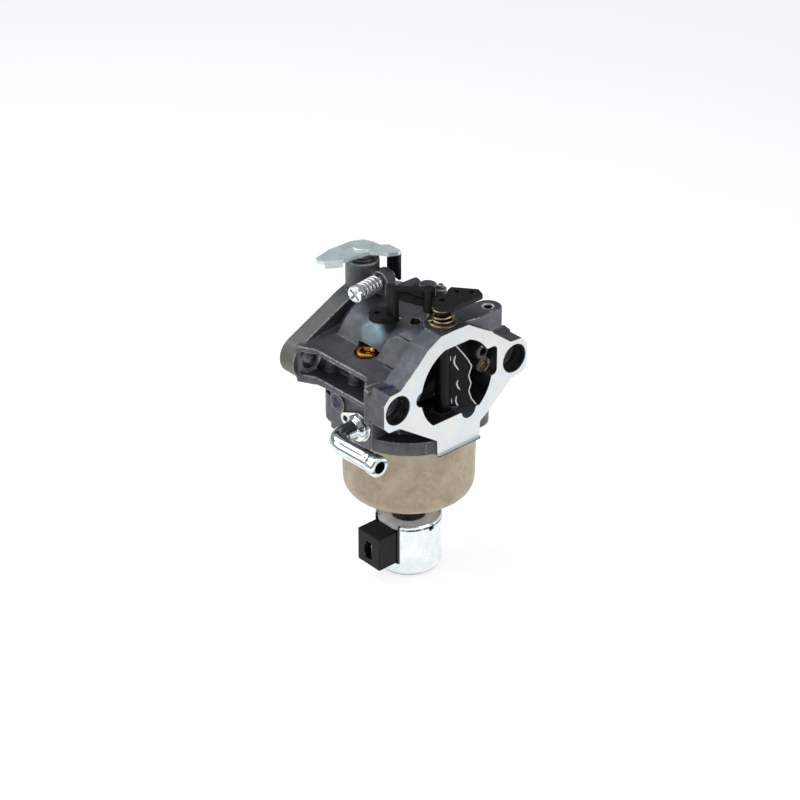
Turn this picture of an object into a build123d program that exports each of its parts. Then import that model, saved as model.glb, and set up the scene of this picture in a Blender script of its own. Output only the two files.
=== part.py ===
"""Float-bowl carburetor with a shut-off solenoid, built as it comes apart on a bench.

Row frame, millimetres: +Y is the air's way out, towards the engine, +Z is up, and the origin is
the centre of the engine flange's two stud holes, on the engine face and on the bore's axis.
"""
from build123d import *
from math import cos, radians, sin
import os

os.makedirs("parts", exist_ok=True)

# Driving dimensions
STUD_X = 30.0            # stud hole to bore axis, on both flanges
STUD_HOLE_R = 3.5        # clearance for an M6 stud
ENGINE_FACE_Y = 0.0
FLANGE_T = 8.0
INLET_FACE_Y = -59.8
INLET_T = 9.8
BOWL_Y = -32.3           # the bowl's axis
THROTTLE_Y = -5.2        # the throttle shaft's axis
CHOKE_X, CHOKE_Y = -0.9, -52.5   # the choke shaft's axis
THROTTLE_BORE_R = 13.0
VENTURI_R = 11.0
CHOKE_BORE_R = 18.2
CHOKE_TOP_Z = 17.1       # flat roof of the choke bore
CHOKE_FLOOR_Z = -13.7    # flat floor of the choke bore
JET_X = 17.6             # the two air jets, beside the choke bore
JET_DEPTH = 4.0
SIDE_PORT = (17.0, 6.0)  # open drilling above the right-hand air jet
IDLE_JET = (-19.5, -30.3)
IDLE_JET_Z = 7.6         # seat of the idle jet's head
BARREL_R = 21.5
RUNNING = 0.05           # radial clearance of a running fit

TOWER_R = 6.7
TOWER_TOP_Z = 33.1
THROTTLE_SHAFT_R = 3.0
CHOKE_SHAFT_R = 3.0
CHOKE_BOSS_R = 7.6
CHOKE_BOSS_TOP_Z = 23.8
CHOKE_OPEN_DEG = 35.0    # how far the choke stands open at rest
LUG_HOLE = (20.4, -54.6)   # tapped hole in the lug beside the choke boss
LUG_TOP_Z = 24.3
LUG_HOLE_R = 1.65
RELAY_X, RELAY_Y = -1.5, -45.5
RELAY_PIN_R = 1.2
RELAY_ARM_DEG = 135.0
RELAY_ARM = 13.0
RELAY_HUB_Z, RELAY_TOP_Z = 26.4, 36.0

BALL_PLUG = (-5.0, BOWL_Y - 9.5)   # ball that closes a drilling in the choke housing

SCREW_AXIS_DEG = 9.0     # the idle screw's axis, turned from +X towards +Y
SCREW_R = 2.0
SCREW_HEAD = (-15.0, -17.7, 26.7)   # centre of the idle screw head's outer face
SCREW_LUG_START = 14.3   # from the head's face to the lug, along the screw
SCREW_LUG_T = 5.6
SCREW_LENGTH = 23.0
SPRING_WIRE_R = 0.6

RING_R = 27.5            # cover ring over the bowl
RING_Z = (-28.0, -22.3)
STUD_SIDE_X = 23.5       # where the stud's side of the casting starts, and half its height
STUD_SIDE_Z = 8.6
BOWL_R = 26.6
BOWL_WALL = 1.0
BOWL_BOTTOM_Z = -57.5
POST_R = 7.8             # centre post inside the bowl
POST_BOTTOM_Z = -54.0
NECK_R = 7.2
NECK_NOSE_R = 5.0

FLOAT_IN_R, FLOAT_OUT_R = 11.8, 20.5
FLOAT_Z = (-47.5, -34.5)
HINGE_X, HINGE_Z = -20.0, -32.3
NEEDLE_X = -13.6

CAN_R = 13.5
CAN_WALL = 1.0
CAN_Z = (-94.0, -70.0)
PLUNGER_R = 2.4

TUBE_R, TUBE_BORE_R, TUBE_LIP_R = 3.75, 2.45, 4.25
TUBE_ROOT_Y, TUBE_ROOT_Z = BOWL_Y - 3.6, -18.4
TUBE_BEND = (-43.0, TUBE_ROOT_Y, TUBE_ROOT_Z)
TUBE_MOUTH = (-40.4, BOWL_Y - 29.1, -20.1)
TUBE_STRAIGHT = 8.0      # the tube's last stretch, square to the inlet face
TUBE_BEND_R = 7.5
TUBE_COLLAR_R = 5.5
EYELET = (8.1, 0.2)      # the clip's open eyelet, from the tube's root, along Y and up
PAD_X = -27.7            # the fuel pad's face
CLIP_T = 1.2

LEVER_Z, LEVER_T = 36.0, 1.5          # throttle lever
TAB_X = 8.0                           # face that the idle screw's tip meets
CHOKE_LEVER_Z, CHOKE_LEVER_T = 31.8, 2.0
PADDLE = (-13.0, BOWL_Y + 1.1)        # the relay arm's round end
WASHER_T = 0.8
CAP_Z, CAP_T = -71.0, 1.4             # steel plate that closes the solenoid's can
CONNECTOR_HALF = 6.5
CONNECTOR_X = -21.4
CONNECTOR_Z = (-87.2, -72.4)
SOCKET_Z = (-84.2, -76.4)


def level(z, x=0.0, y=0.0):
    """A horizontal plane at height z."""
    return Plane(origin=(x, y, z), x_dir=(1, 0, 0), z_dir=(0, 0, 1))


def across(y, x=0.0, z=0.0):
    """A plane that faces the inlet, -Y, at depth y: its sketch reads as X, Z."""
    return Plane(origin=(x, y, z), x_dir=(1, 0, 0), z_dir=(0, -1, 0))


def facing_left(x, y=0.0, z=0.0):
    """A plane that faces -X: its sketch reads as -Y, Z."""
    return Plane(origin=(x, y, z), x_dir=(0, -1, 0), z_dir=(-1, 0, 0))


def rod(plane, radius, length, mode=Mode.ADD):
    """A round bar standing on a plane, or the hole that it leaves."""
    with BuildSketch(plane) as disc:
        Circle(radius)
    extrude(disc.sketch, amount=length, mode=mode)


def ring(plane, outer, inner, length, mode=Mode.ADD):
    """A tube standing on a plane."""
    with BuildSketch(plane) as disc:
        Circle(outer)
        Circle(inner, mode=Mode.SUBTRACT)
    extrude(disc.sketch, amount=length, mode=mode)


def slab(plane, outline, length, rounding=0.0, mode=Mode.ADD):
    """A plate whose outline is a polygon, with its corners rounded."""
    with BuildSketch(plane) as plate:
        Polygon(*outline, align=None)
        if rounding:
            fillet(plate.vertices(), rounding)
    extrude(plate.sketch, amount=length, mode=mode)


def bar(plane, start, end, r_start, r_end, length, mode=Mode.ADD):
    """A plate with a round end at each of two points, its sides tangent to both."""
    with BuildSketch(plane) as plate:
        with Locations(start):
            Circle(r_start)
        with Locations(end):
            Circle(r_end)
        make_hull()
    extrude(plate.sketch, amount=length, mode=mode)


def block(low, high, mode=Mode.ADD):
    """A box between two corners."""
    centre = [(a + b) / 2 for a, b in zip(low, high)]
    with Locations(tuple(centre)):
        Box(high[0] - low[0], high[1] - low[1], high[2] - low[2], mode=mode)


def coil(plane, radius, wire_r, pitch, height):
    """A helical spring's wire, standing on a plane."""
    with BuildLine() as path:
        Helix(pitch=pitch, height=height, radius=radius, center=plane.origin, direction=plane.z_dir)
    with BuildSketch(Plane(origin=path.line @ 0, z_dir=path.line % 0)) as wire:
        Circle(wire_r)
    sweep(wire.sketch, path=path.line, is_frenet=True)


def keep(part, name):
    """Label a finished piece and write it."""
    part.label = name
    export_step(part, f"parts/{name}.step")


# Axes that several pieces share
screw_dir = Vector(cos(radians(SCREW_AXIS_DEG)), sin(radians(SCREW_AXIS_DEG)), 0)


def on_screw(distance):
    """A plane across the idle screw's axis, a distance in from its head's face."""
    origin = Vector(*SCREW_HEAD) + screw_dir * distance
    return Plane(origin=origin, x_dir=(-screw_dir.Y, screw_dir.X, 0), z_dir=screw_dir)


def choke_frame(offset=0.0):
    """The choke plate's own plane at rest: its sketch reads as width, Z, and it faces the inlet."""
    turn = radians(CHOKE_OPEN_DEG)
    normal = Vector(-sin(turn), -cos(turn), 0)
    origin = Vector(CHOKE_X, CHOKE_Y, 0) + normal * offset
    return Plane(origin=origin, x_dir=(cos(turn), -sin(turn), 0), z_dir=normal)


# ---------------------------------------------------------------- the casting
inlet_outline = [
    (-8, 23.7), (-15, 20), (-20, 15), (-28.5, 7.8), (-33.8, 7.4), (-36.8, 4.2), (-36.8, -5.5), (-34.5, -8),
    (-29, -8.3), (-10, -21.3), (-9.7, -28), (12.3, -28), (12.3, -21.3), (16.5, -18.6), (29, -8.2),
    (34.5, -7.8), (36.8, -5.5), (36.8, 4.8), (34, 7.6), (28, 8), (17, 16.5), (5.5, 23.7)]

with BuildPart() as casting:
    # Engine flange: two round lobes drawn round the barrel
    with BuildSketch(across(ENGINE_FACE_Y)):
        Circle(21.5)
        with Locations((-STUD_X, 0), (STUD_X, 0)):
            Circle(8.2)
        make_hull()
    extrude(amount=FLANGE_T)
    rod(level(10, 0, THROTTLE_Y), TOWER_R, TOWER_TOP_Z - 10)
    rod(level(-26, 0, THROTTLE_Y - 1), 5.6, 16)
    # Barrel: neck, drum and choke housing
    rod(across(-FLANGE_T + 1), 17.5, 8)
    rod(across(-12.3), BARREL_R, 30)
    rod(across(-37), 22.4, 16)
    slab(across(INLET_FACE_Y + INLET_T), inlet_outline, INLET_T)
    for side in (-1, 1):
        # Ear behind each inlet stud hole, and the web that joins it to the engine flange
        block((min(side * 23, side * 36.8), -50.5, -8), (max(side * 23, side * 36.8), -47.9, 6.7))
        slab(level(-8), [(side * 12, -7), (side * 36, -7), (side * 32, -14.5), (side * 31.4, -43),
                         (side * 36.6, -48.5), (side * 12, -51)], 15.8, 0)
        slab(across(-7), [(side * 30.5, 7.6), (side * 15, 10), (side * 10, 10), (side * 10, 0),
                          (side * 30.5, 0)], 43)
        # Recess round the stud, open to the side
        slab(level(-4.4), [(side * 40, -8.6), (side * 25, -8.6), (side * 22.6, -14),
                           (side * 22.6, -44), (side * 27, -46.2), (side * 40, -44.4)], 10.0, 1.4,
             mode=Mode.SUBTRACT)
        # Lower rib thinned from below, rising towards the inlet
        slab(facing_left(side * 25 if side < 0 else 42),
             [(6, -8.6), (6, -20), (30, -20), (47, -20), (47, -6.4), (30, -6.6)], 17,
             mode=Mode.SUBTRACT)
    # Float chamber roof and the pedestal between it and the barrel
    rod(level(RING_Z[0], 0, BOWL_Y), RING_R, RING_Z[1] - RING_Z[0])
    rod(level(RING_Z[1] - 1, 0, BOWL_Y), 21.2, 16)
    rod(level(RING_Z[0] + 1, -16.6, BOWL_Y + 17), 9.0, 12)
    rod(level(RING_Z[0] + 12, -15.6, BOWL_Y + 16), 7.2, 9.6)
    rod(level(RING_Z[0] + 0.5, 17, BOWL_Y - 16.5), 7.6, 20)
    block((PAD_X, BOWL_Y - 9.5, RING_Z[0] + 0.6), (-12, BOWL_Y + 15, -7.2))
    rod(facing_left(PAD_X + 4, BOWL_Y + 9.3, -13.3), 4.1, 5.2)
    # Inner post, needle seat boss and the float's two hinge lugs, all hanging from the roof
    rod(level(RING_Z[0], 0, BOWL_Y), 23.6, 3.6, mode=Mode.SUBTRACT)
    rod(level(POST_BOTTOM_Z, 0, BOWL_Y), POST_R, 32)
    rod(level(-29.2, NEEDLE_X, BOWL_Y), 4.6, 8)
    for side in (-1, 1):
        block((HINGE_X - 2, BOWL_Y + side * 6.4 - 1.2, HINGE_Z - 2.2),
              (HINGE_X + 2, BOWL_Y + side * 6.4 + 1.2, -24))
    # Choke boss, the relay pin's boss and the lug beside them
    rod(level(14, CHOKE_X, CHOKE_Y), CHOKE_BOSS_R, CHOKE_BOSS_TOP_Z - 14)
    rod(level(12, RELAY_X - 1.2, RELAY_Y + 0.8), 4.2, CHOKE_BOSS_TOP_Z - 14.6)
    bar(level(16), (0, CHOKE_Y + 1.5), LUG_HOLE, 5.6, 5.4, LUG_TOP_Z - 16)
    rod(level(CHOKE_BOSS_TOP_Z, CHOKE_X, CHOKE_Y), 6.6, 4, mode=Mode.SUBTRACT)
    # Idle screw lug, on the throttle tower's shoulder
    rod(on_screw(SCREW_LUG_START), 4.3, SCREW_LUG_T)
    block((-0.8, -19.6, 15), (4.6, -10.6, 26.4))
    # Idle passage rib and dome on the far shoulder
    rod(Plane(origin=(2, BOWL_Y + 14, 20.6), z_dir=(1, 0, 0)), 2.9, 15)
    rod(level(12, 15, BOWL_Y + 6), 3.6, 12.6)
    rod(level(14, 18, BOWL_Y + 1.8), 2.4, 9.4)
    rod(level(12, *BALL_PLUG), 3.2, 6.4)
    block((-7.5, BOWL_Y - 3.4, 15), (-2.5, BOWL_Y + 1, 21.2))
    # Spotfaced boss for the idle jet, and the raised pad on the choke housing
    rod(level(0, *IDLE_JET), 5.2, IDLE_JET_Z)
    with BuildSketch(Plane(origin=(-13.9, BOWL_Y - 13.7, 11), x_dir=(0, -1, 0),
                           z_dir=(-0.787, 0, 0.617))) as pad:
        RectangleRounded(10, 12, 2.0)
    extrude(pad.sketch, amount=5.9)
    # Everything past the two machined faces is cut off
    block((-45, ENGINE_FACE_Y, -60), (45, 20, 60), mode=Mode.SUBTRACT)
    block((-45, -80, -60), (45, INLET_FACE_Y, 60), mode=Mode.SUBTRACT)

    # Air passage: choke bore with a flat roof and floor, entry cone, venturi and throttle bore
    with BuildSketch(across(INLET_FACE_Y)) as mouth:
        Circle(CHOKE_BORE_R)
        with Locations((0, (CHOKE_TOP_Z + CHOKE_FLOOR_Z) / 2)):
            Rectangle(60, CHOKE_TOP_Z - CHOKE_FLOOR_Z, mode=Mode.INTERSECT)
    extrude(mouth.sketch, amount=-16.5, mode=Mode.SUBTRACT)
    with BuildSketch(Plane.XY) as throat:
        with BuildLine():
            Polyline((0, 1), (0, -44), (13.4, -44))
            Spline((13.4, -44), (VENTURI_R + 0.5, -39), (VENTURI_R, -33), tangents=((0, 1), (0, 1)))
            Polyline((VENTURI_R, -33), (VENTURI_R, -28), (THROTTLE_BORE_R, -17), (THROTTLE_BORE_R, 1),
                     (0, 1))
        make_face()
    revolve(throat.sketch, axis=Axis.Y, mode=Mode.SUBTRACT)
    # Pockets for the two air jets, and the scoop that clears the choke plate
    with BuildSketch(across(INLET_FACE_Y)) as pockets:
        with Locations((17.2, 3.2)):
            RectangleRounded(7.2, 12.6, 2.4)
        with Locations((-17.6, 0)):
            Circle(3.2)
    extrude(pockets.sketch, amount=-JET_DEPTH - 3, mode=Mode.SUBTRACT)
    for side in (-1, 1):
        rod(across(INLET_FACE_Y + JET_DEPTH, side * JET_X), 3.3, -6)
    rod(across(INLET_FACE_Y + JET_DEPTH, *SIDE_PORT), 3.1, -6)
    rod(across(INLET_FACE_Y - 1, 6.3, CHOKE_FLOOR_Z), 3.6, -9, mode=Mode.SUBTRACT)
    # Stud holes: straight through at the engine, counterbored at the inlet
    for side in (-1, 1):
        rod(across(1, side * STUD_X), STUD_HOLE_R, 12, mode=Mode.SUBTRACT)
        rod(across(-40, side * STUD_X), STUD_HOLE_R, 22, mode=Mode.SUBTRACT)
        rod(across(INLET_FACE_Y + 7, side * STUD_X), 5.8, 8, mode=Mode.SUBTRACT)
    # Throttle and choke shaft bores, with seats for their bushings
    rod(level(-24, 0, THROTTLE_Y), THROTTLE_SHAFT_R + RUNNING, 60, mode=Mode.SUBTRACT)
    rod(level(TOWER_TOP_Z - 7, 0, THROTTLE_Y), 4.6, 8, mode=Mode.SUBTRACT)
    rod(level(-27, 0, THROTTLE_Y), 4.0, 4, mode=Mode.SUBTRACT)
    rod(level(-19, CHOKE_X, CHOKE_Y), CHOKE_SHAFT_R + RUNNING, 50, mode=Mode.SUBTRACT)
    rod(level(CHOKE_BOSS_TOP_Z - 5, CHOKE_X, CHOKE_Y), 4.4, 6, mode=Mode.SUBTRACT)
    rod(level(14, RELAY_X, RELAY_Y), RELAY_PIN_R, 15, mode=Mode.SUBTRACT)
    rod(level(12, *LUG_HOLE), LUG_HOLE_R, 15, mode=Mode.SUBTRACT)
    rod(on_screw(SCREW_LUG_START - 1), SCREW_R + RUNNING, SCREW_LUG_T + 4, mode=Mode.SUBTRACT)
    # Jet and fuel drillings
    rod(level(0, *IDLE_JET), 2.6, IDLE_JET_Z, mode=Mode.SUBTRACT)
    rod(level(IDLE_JET_Z, *IDLE_JET), 5.0, 3.4, mode=Mode.SUBTRACT)
    for side in (-1, 1):
        rod(across(INLET_FACE_Y + JET_DEPTH - 1, side * JET_X), 1.6, -6, mode=Mode.SUBTRACT)
    rod(across(INLET_FACE_Y + JET_DEPTH - 1, *SIDE_PORT), 1.6, -9, mode=Mode.SUBTRACT)
    rod(level(14, 18, BOWL_Y + 1.8), 1.2, 12, mode=Mode.SUBTRACT)
    rod(level(14, *BALL_PLUG), 1.8, 8, mode=Mode.SUBTRACT)
    for turn in (0, 90):
        rod(Plane(origin=(-9 * cos(radians(turn)), BOWL_Y - 9 * sin(radians(turn)), -48.4),
                  z_dir=(cos(radians(turn)), sin(radians(turn)), 0)), 1.3, 18, mode=Mode.SUBTRACT)
    rod(level(-52, 0, BOWL_Y), 2.5, 44, mode=Mode.SUBTRACT)
    rod(level(POST_BOTTOM_Z - 1, 0, BOWL_Y), NECK_NOSE_R, 8, mode=Mode.SUBTRACT)
    rod(level(-30, NEEDLE_X, BOWL_Y), 3.0, 7, mode=Mode.SUBTRACT)
    rod(level(-24, NEEDLE_X, BOWL_Y), 1.6, 4, mode=Mode.SUBTRACT)
    rod(Plane(origin=(-34, TUBE_ROOT_Y, TUBE_ROOT_Z), z_dir=(1, 0, 0)), TUBE_R, 16,
        mode=Mode.SUBTRACT)
    rod(Plane(origin=(-20, TUBE_ROOT_Y, TUBE_ROOT_Z), z_dir=(1, 0.55, -0.4)), 1.6, 8,
        mode=Mode.SUBTRACT)
    rod(Plane(origin=(HINGE_X, BOWL_Y - 9, HINGE_Z), z_dir=(0, 1, 0)), 1.0, 18, mode=Mode.SUBTRACT)
    # Groove that holds the bowl's gasket
    ring(level(RING_Z[0], 0, BOWL_Y), 26.8, 24.4, 1.0, mode=Mode.SUBTRACT)

# The casting is written as three nodes that meet face to face: the middle, and each stud's side
stud_sides = {"stud_side_left": -1, "stud_side_right": 1}
for name, side in stud_sides.items():
    with BuildPart() as stud_side:
        add(casting.part)
        block((min(side * STUD_SIDE_X, side * 45), -65, -STUD_SIDE_Z),
              (max(side * STUD_SIDE_X, side * 45), 5, STUD_SIDE_Z), mode=Mode.INTERSECT)
    keep(stud_side.part, name)
with BuildPart() as main_body:
    add(casting.part)
    for side in stud_sides.values():
        block((min(side * STUD_SIDE_X, side * 45), -65, -STUD_SIDE_Z),
              (max(side * STUD_SIDE_X, side * 45), 5, STUD_SIDE_Z), mode=Mode.SUBTRACT)
keep(main_body.part, "main_body")

# ---------------------------------------------------------------- float chamber
bowl_axis = Axis((0, BOWL_Y, 0), (0, 0, 1))
bowl_section = across(BOWL_Y)

with BuildPart() as float_bowl:
    with BuildSketch(bowl_section) as shell:
        with BuildLine():
            outside = FilletPolyline((BOWL_R, RING_Z[0]), (BOWL_R - 0.4, BOWL_BOTTOM_Z),
                                     (NECK_NOSE_R, BOWL_BOTTOM_Z), radius=6.4)
            offset(amount=-BOWL_WALL, side=Side.RIGHT)
        make_face()
    revolve(shell.sketch, axis=bowl_axis)
    rod(level(RING_Z[0], 0, BOWL_Y), RING_R, 2, mode=Mode.SUBTRACT)
keep(float_bowl.part, "float_bowl")

with BuildPart() as bowl_gasket:
    ring(level(RING_Z[0], 0, BOWL_Y), 26.8, 24.4, 1.0)
keep(bowl_gasket.part, "bowl_gasket")

with BuildPart() as float_piece:
    ring(level(FLOAT_Z[0], 0, BOWL_Y), FLOAT_OUT_R, FLOAT_IN_R, FLOAT_Z[1] - FLOAT_Z[0])
    fillet(float_piece.edges().filter_by(GeomType.CIRCLE), 1.5)
    block((HINGE_X, BOWL_Y - 4, FLOAT_Z[1] - 2), (-12.6, BOWL_Y + 4, -33.2))
    rod(Plane(origin=(HINGE_X, BOWL_Y - 4.8, HINGE_Z), z_dir=(0, 1, 0)), 2.0, 9.6)
    rod(Plane(origin=(HINGE_X, BOWL_Y - 6, HINGE_Z), z_dir=(0, 1, 0)), 1.0 + RUNNING, 12,
        mode=Mode.SUBTRACT)
keep(float_piece.part, "float")

with BuildPart() as float_hinge_pin:
    rod(Plane(origin=(HINGE_X, BOWL_Y - 8.4, HINGE_Z), z_dir=(0, 1, 0)), 1.0, 16.8)
    chamfer(float_hinge_pin.edges().filter_by(GeomType.CIRCLE), 0.3)
keep(float_hinge_pin.part, "float_hinge_pin")

with BuildPart() as needle_seat:
    ring(level(-29.6, NEEDLE_X, BOWL_Y), 3.0, 1.8, 4.2)
    ring(level(-25.4, NEEDLE_X, BOWL_Y), 3.0, 0.9, 2.4)
keep(needle_seat.part, "needle_seat")

with BuildPart() as inlet_needle:
    rod(level(-32.9, NEEDLE_X, BOWL_Y), 1.65, 5.6)
    with BuildSketch(level(-27.3, NEEDLE_X, BOWL_Y)) as tip_base:
        Circle(1.65)
    with BuildSketch(level(-25.5, NEEDLE_X, BOWL_Y)) as tip_end:
        Circle(0.6)
    loft([tip_base.sketch.face(), tip_end.sketch.face()])
keep(inlet_needle.part, "inlet_needle")

with BuildPart() as main_nozzle:
    ring(level(-43, 0, BOWL_Y), 2.5, 1.3, 35)
    for height in (-38, -32, -26):
        rod(Plane(origin=(-3, BOWL_Y, height), z_dir=(1, 0, 0)), 0.5, 6, mode=Mode.SUBTRACT)
    chamfer(main_nozzle.faces().sort_by(Axis.Z)[-1].edges(), 0.4)
keep(main_nozzle.part, "main_nozzle")

with BuildPart() as main_jet:
    rod(level(-47, 0, BOWL_Y), 2.5, 4)
    with BuildSketch(level(-49.5, 0, BOWL_Y)) as hexagon:
        RegularPolygon(3.6, 6)
    extrude(hexagon.sketch, amount=2.5)
    rod(level(-50, 0, BOWL_Y), 0.55, 8, mode=Mode.SUBTRACT)
keep(main_jet.part, "main_jet")

# ---------------------------------------------------------------- fuel inlet
with BuildPart() as fuel_tube:
    with BuildLine() as tube_path:
        mouth_x, mouth_y, mouth_z = TUBE_MOUTH
        FilletPolyline((-20.2, TUBE_ROOT_Y, TUBE_ROOT_Z), TUBE_BEND,
                       (mouth_x, mouth_y + TUBE_STRAIGHT, mouth_z), TUBE_MOUTH,
                       radius=TUBE_BEND_R)
    with BuildSketch(Plane(origin=tube_path.line @ 0, z_dir=tube_path.line % 0)) as tube_wall:
        Circle(TUBE_R)
        Circle(TUBE_BORE_R, mode=Mode.SUBTRACT)
    sweep(tube_wall.sketch, path=tube_path.line)
    ring(facing_left(PAD_X - CLIP_T, TUBE_ROOT_Y, TUBE_ROOT_Z), TUBE_COLLAR_R, TUBE_BORE_R, 2.4)
    ring(across(mouth_y, mouth_x, mouth_z), TUBE_LIP_R, TUBE_BORE_R, -4.6)
    for radius, rounding in ((TUBE_LIP_R, 0.4), (TUBE_COLLAR_R, 0.8)):
        fillet([edge for edge in fuel_tube.edges().filter_by(GeomType.CIRCLE)
                if abs(edge.radius - radius) < 0.01], rounding)
keep(fuel_tube.part, "fuel_inlet_tube")

with BuildPart() as tube_clip:
    bar(facing_left(PAD_X, TUBE_ROOT_Y, TUBE_ROOT_Z), (0, 0), (-EYELET[0], EYELET[1]), 5.9, 2.7,
        CLIP_T)
    rod(facing_left(PAD_X + 1, TUBE_ROOT_Y, TUBE_ROOT_Z), TUBE_R, 4, mode=Mode.SUBTRACT)
    rod(facing_left(PAD_X + 1, TUBE_ROOT_Y + EYELET[0], TUBE_ROOT_Z + EYELET[1]), 1.3, 4,
        mode=Mode.SUBTRACT)
keep(tube_clip.part, "tube_clip")

# ---------------------------------------------------------------- jets and plugs
with BuildPart() as idle_jet:
    rod(level(0.6, *IDLE_JET), 2.6, IDLE_JET_Z - 0.6)
    rod(level(IDLE_JET_Z, *IDLE_JET), 4.4, 2.2)
    fillet(idle_jet.faces().sort_by(Axis.Z)[-1].edges(), 0.6)
    rod(level(IDLE_JET_Z + 1, *IDLE_JET), 2.0, 3, mode=Mode.SUBTRACT)
    rod(level(0, *IDLE_JET), 0.6, 12, mode=Mode.SUBTRACT)
keep(idle_jet.part, "idle_jet")

for side, name in ((-1, "air_jet_left"), (1, "air_jet_right")):
    with BuildPart() as air_jet:
        rod(across(INLET_FACE_Y + JET_DEPTH, side * JET_X), 1.6, -5)
        rod(across(INLET_FACE_Y + JET_DEPTH - 0.8, side * JET_X), 2.1, -0.8)
        rod(across(INLET_FACE_Y, side * JET_X), 0.5, -12, mode=Mode.SUBTRACT)
        block((side * JET_X - 2.2, INLET_FACE_Y + 3, -0.3),
              (side * JET_X + 2.2, INLET_FACE_Y + 3.6, 0.3), mode=Mode.SUBTRACT)
    keep(air_jet.part, name)

with BuildPart() as ball_plug:
    with Locations((BALL_PLUG[0], BALL_PLUG[1], 18.1)):
        Sphere(1.8)
keep(ball_plug.part, "ball_plug")

with BuildPart() as passage_pin:
    rod(level(15, 18, BOWL_Y + 1.8), 1.2, 10)
    chamfer(passage_pin.faces().sort_by(Axis.Z)[-1].edges(), 0.3)
keep(passage_pin.part, "passage_pin")

# ---------------------------------------------------------------- throttle
with BuildPart() as throttle_shaft:
    rod(level(-22.5, 0, THROTTLE_Y), THROTTLE_SHAFT_R, LEVER_Z + LEVER_T + 22.5)
    rod(level(LEVER_Z + LEVER_T, 0, THROTTLE_Y), 3.9, 0.7)
    fillet(throttle_shaft.faces().sort_by(Axis.Z)[-1].edges(), 0.5)
    block((-4, THROTTLE_Y - 0.6, -12.9), (4, THROTTLE_Y + 0.6, 12.9), mode=Mode.SUBTRACT)
    for height in (-6.5, 6.5):
        rod(across(THROTTLE_Y + 4, 0, height), 1.4, 8, mode=Mode.SUBTRACT)
keep(throttle_shaft.part, "throttle_shaft")

with BuildPart() as throttle_plate:
    rod(across(THROTTLE_Y + 0.6), THROTTLE_BORE_R - 0.15, 1.2)
    for height in (-6.5, 6.5):
        rod(across(THROTTLE_Y + 4, 0, height), 1.4, 8, mode=Mode.SUBTRACT)
keep(throttle_plate.part, "throttle_plate")

with BuildPart() as plate_screws:
    for height in (-6.5, 6.5):
        rod(across(THROTTLE_Y + 3.6, 0, height), 1.4, 6.6)
        rod(across(THROTTLE_Y - 3.0, 0, height), 2.4, 1.5)
        block((-2.6, THROTTLE_Y - 5, height - 0.35), (2.6, THROTTLE_Y - 3.8, height + 0.35),
              mode=Mode.SUBTRACT)
keep(plate_screws.part, "throttle_plate_screws")

with BuildPart() as throttle_bushing:
    ring(level(TOWER_TOP_Z - 7, 0, THROTTLE_Y), 4.6, THROTTLE_SHAFT_R + RUNNING, 7.8)
keep(throttle_bushing.part, "throttle_bushing")

with BuildPart() as throttle_spacer:
    ring(level(TOWER_TOP_Z + 1.1, 0, THROTTLE_Y), 4.4, THROTTLE_SHAFT_R, LEVER_Z - TOWER_TOP_Z - 1.1)
keep(throttle_spacer.part, "throttle_spacer")

with BuildPart() as throttle_lever:
    lever_outline = [(-20.5, 30.2), (-19, 27.8), (-12.5, 23.8), (-0.5, 22.5), (2, 19.6), (4, 16.4),
                     (7.6, 14.8), (9.3, 15), (9.3, 22), (6.6, 24), (6.2, 28), (4.5, 32), (0, 34),
                     (-11, 34.2), (-19.6, 32)]
    slab(level(LEVER_Z), [(x, BOWL_Y + y) for x, y in lever_outline], LEVER_T, 0.5)
    # Turned-down lip, and the tab that the idle screw pushes
    slab(level(LEVER_Z - 1.8), [(-18.6, BOWL_Y + 27.55), (-12.6, BOWL_Y + 23.87),
                                (-11.9, BOWL_Y + 24.9), (-17.9, BOWL_Y + 28.6)], 2.4)
    slab(facing_left(TAB_X + 1.3, BOWL_Y), [(-22, 26.6), (-15, 24.9), (-15, 37), (-22, 37)], 1.3)
    rod(level(LEVER_Z - 1, 0, THROTTLE_Y), THROTTLE_SHAFT_R, 4, mode=Mode.SUBTRACT)
    rod(level(LEVER_Z - 1, -11, BOWL_Y + 27.2), 1.0, 4, mode=Mode.SUBTRACT)
keep(throttle_lever.part, "throttle_lever")

with BuildPart() as throttle_plug:
    rod(level(-26.6, 0, THROTTLE_Y), 4.0, 1.2)
keep(throttle_plug.part, "throttle_bore_plug")

with BuildPart() as idle_screw:
    rod(on_screw(0), 3.5, 3.2)
    fillet(idle_screw.edges().filter_by(GeomType.CIRCLE), 0.5)
    rod(on_screw(3), SCREW_R, SCREW_LENGTH - 3)
    chamfer(idle_screw.faces().sort_by(Axis.X)[-1].edges(), 0.5)
    for width, height in ((8, 1.0), (1.0, 8)):
        with BuildSketch(on_screw(0)) as slot:
            Rectangle(width, height)
        extrude(slot.sketch, amount=1.3, mode=Mode.SUBTRACT)
keep(idle_screw.part, "idle_screw")

with BuildPart() as idle_screw_spring:
    coil(on_screw(3.2 + SPRING_WIRE_R + 0.1), 2.95, SPRING_WIRE_R, 2.4, 9.7)
keep(idle_screw_spring.part, "idle_screw_spring")

# ---------------------------------------------------------------- choke
with BuildPart() as choke_shaft:
    rod(level(-18.6, CHOKE_X, CHOKE_Y), CHOKE_SHAFT_R, CHOKE_LEVER_Z + 18.6)
    with BuildSketch(choke_frame(-0.8)) as slot:
        with Locations((0, 1.7)):
            Rectangle(8, 29.4)
    extrude(slot.sketch, amount=1.6, mode=Mode.SUBTRACT)
keep(choke_shaft.part, "choke_shaft")

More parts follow.
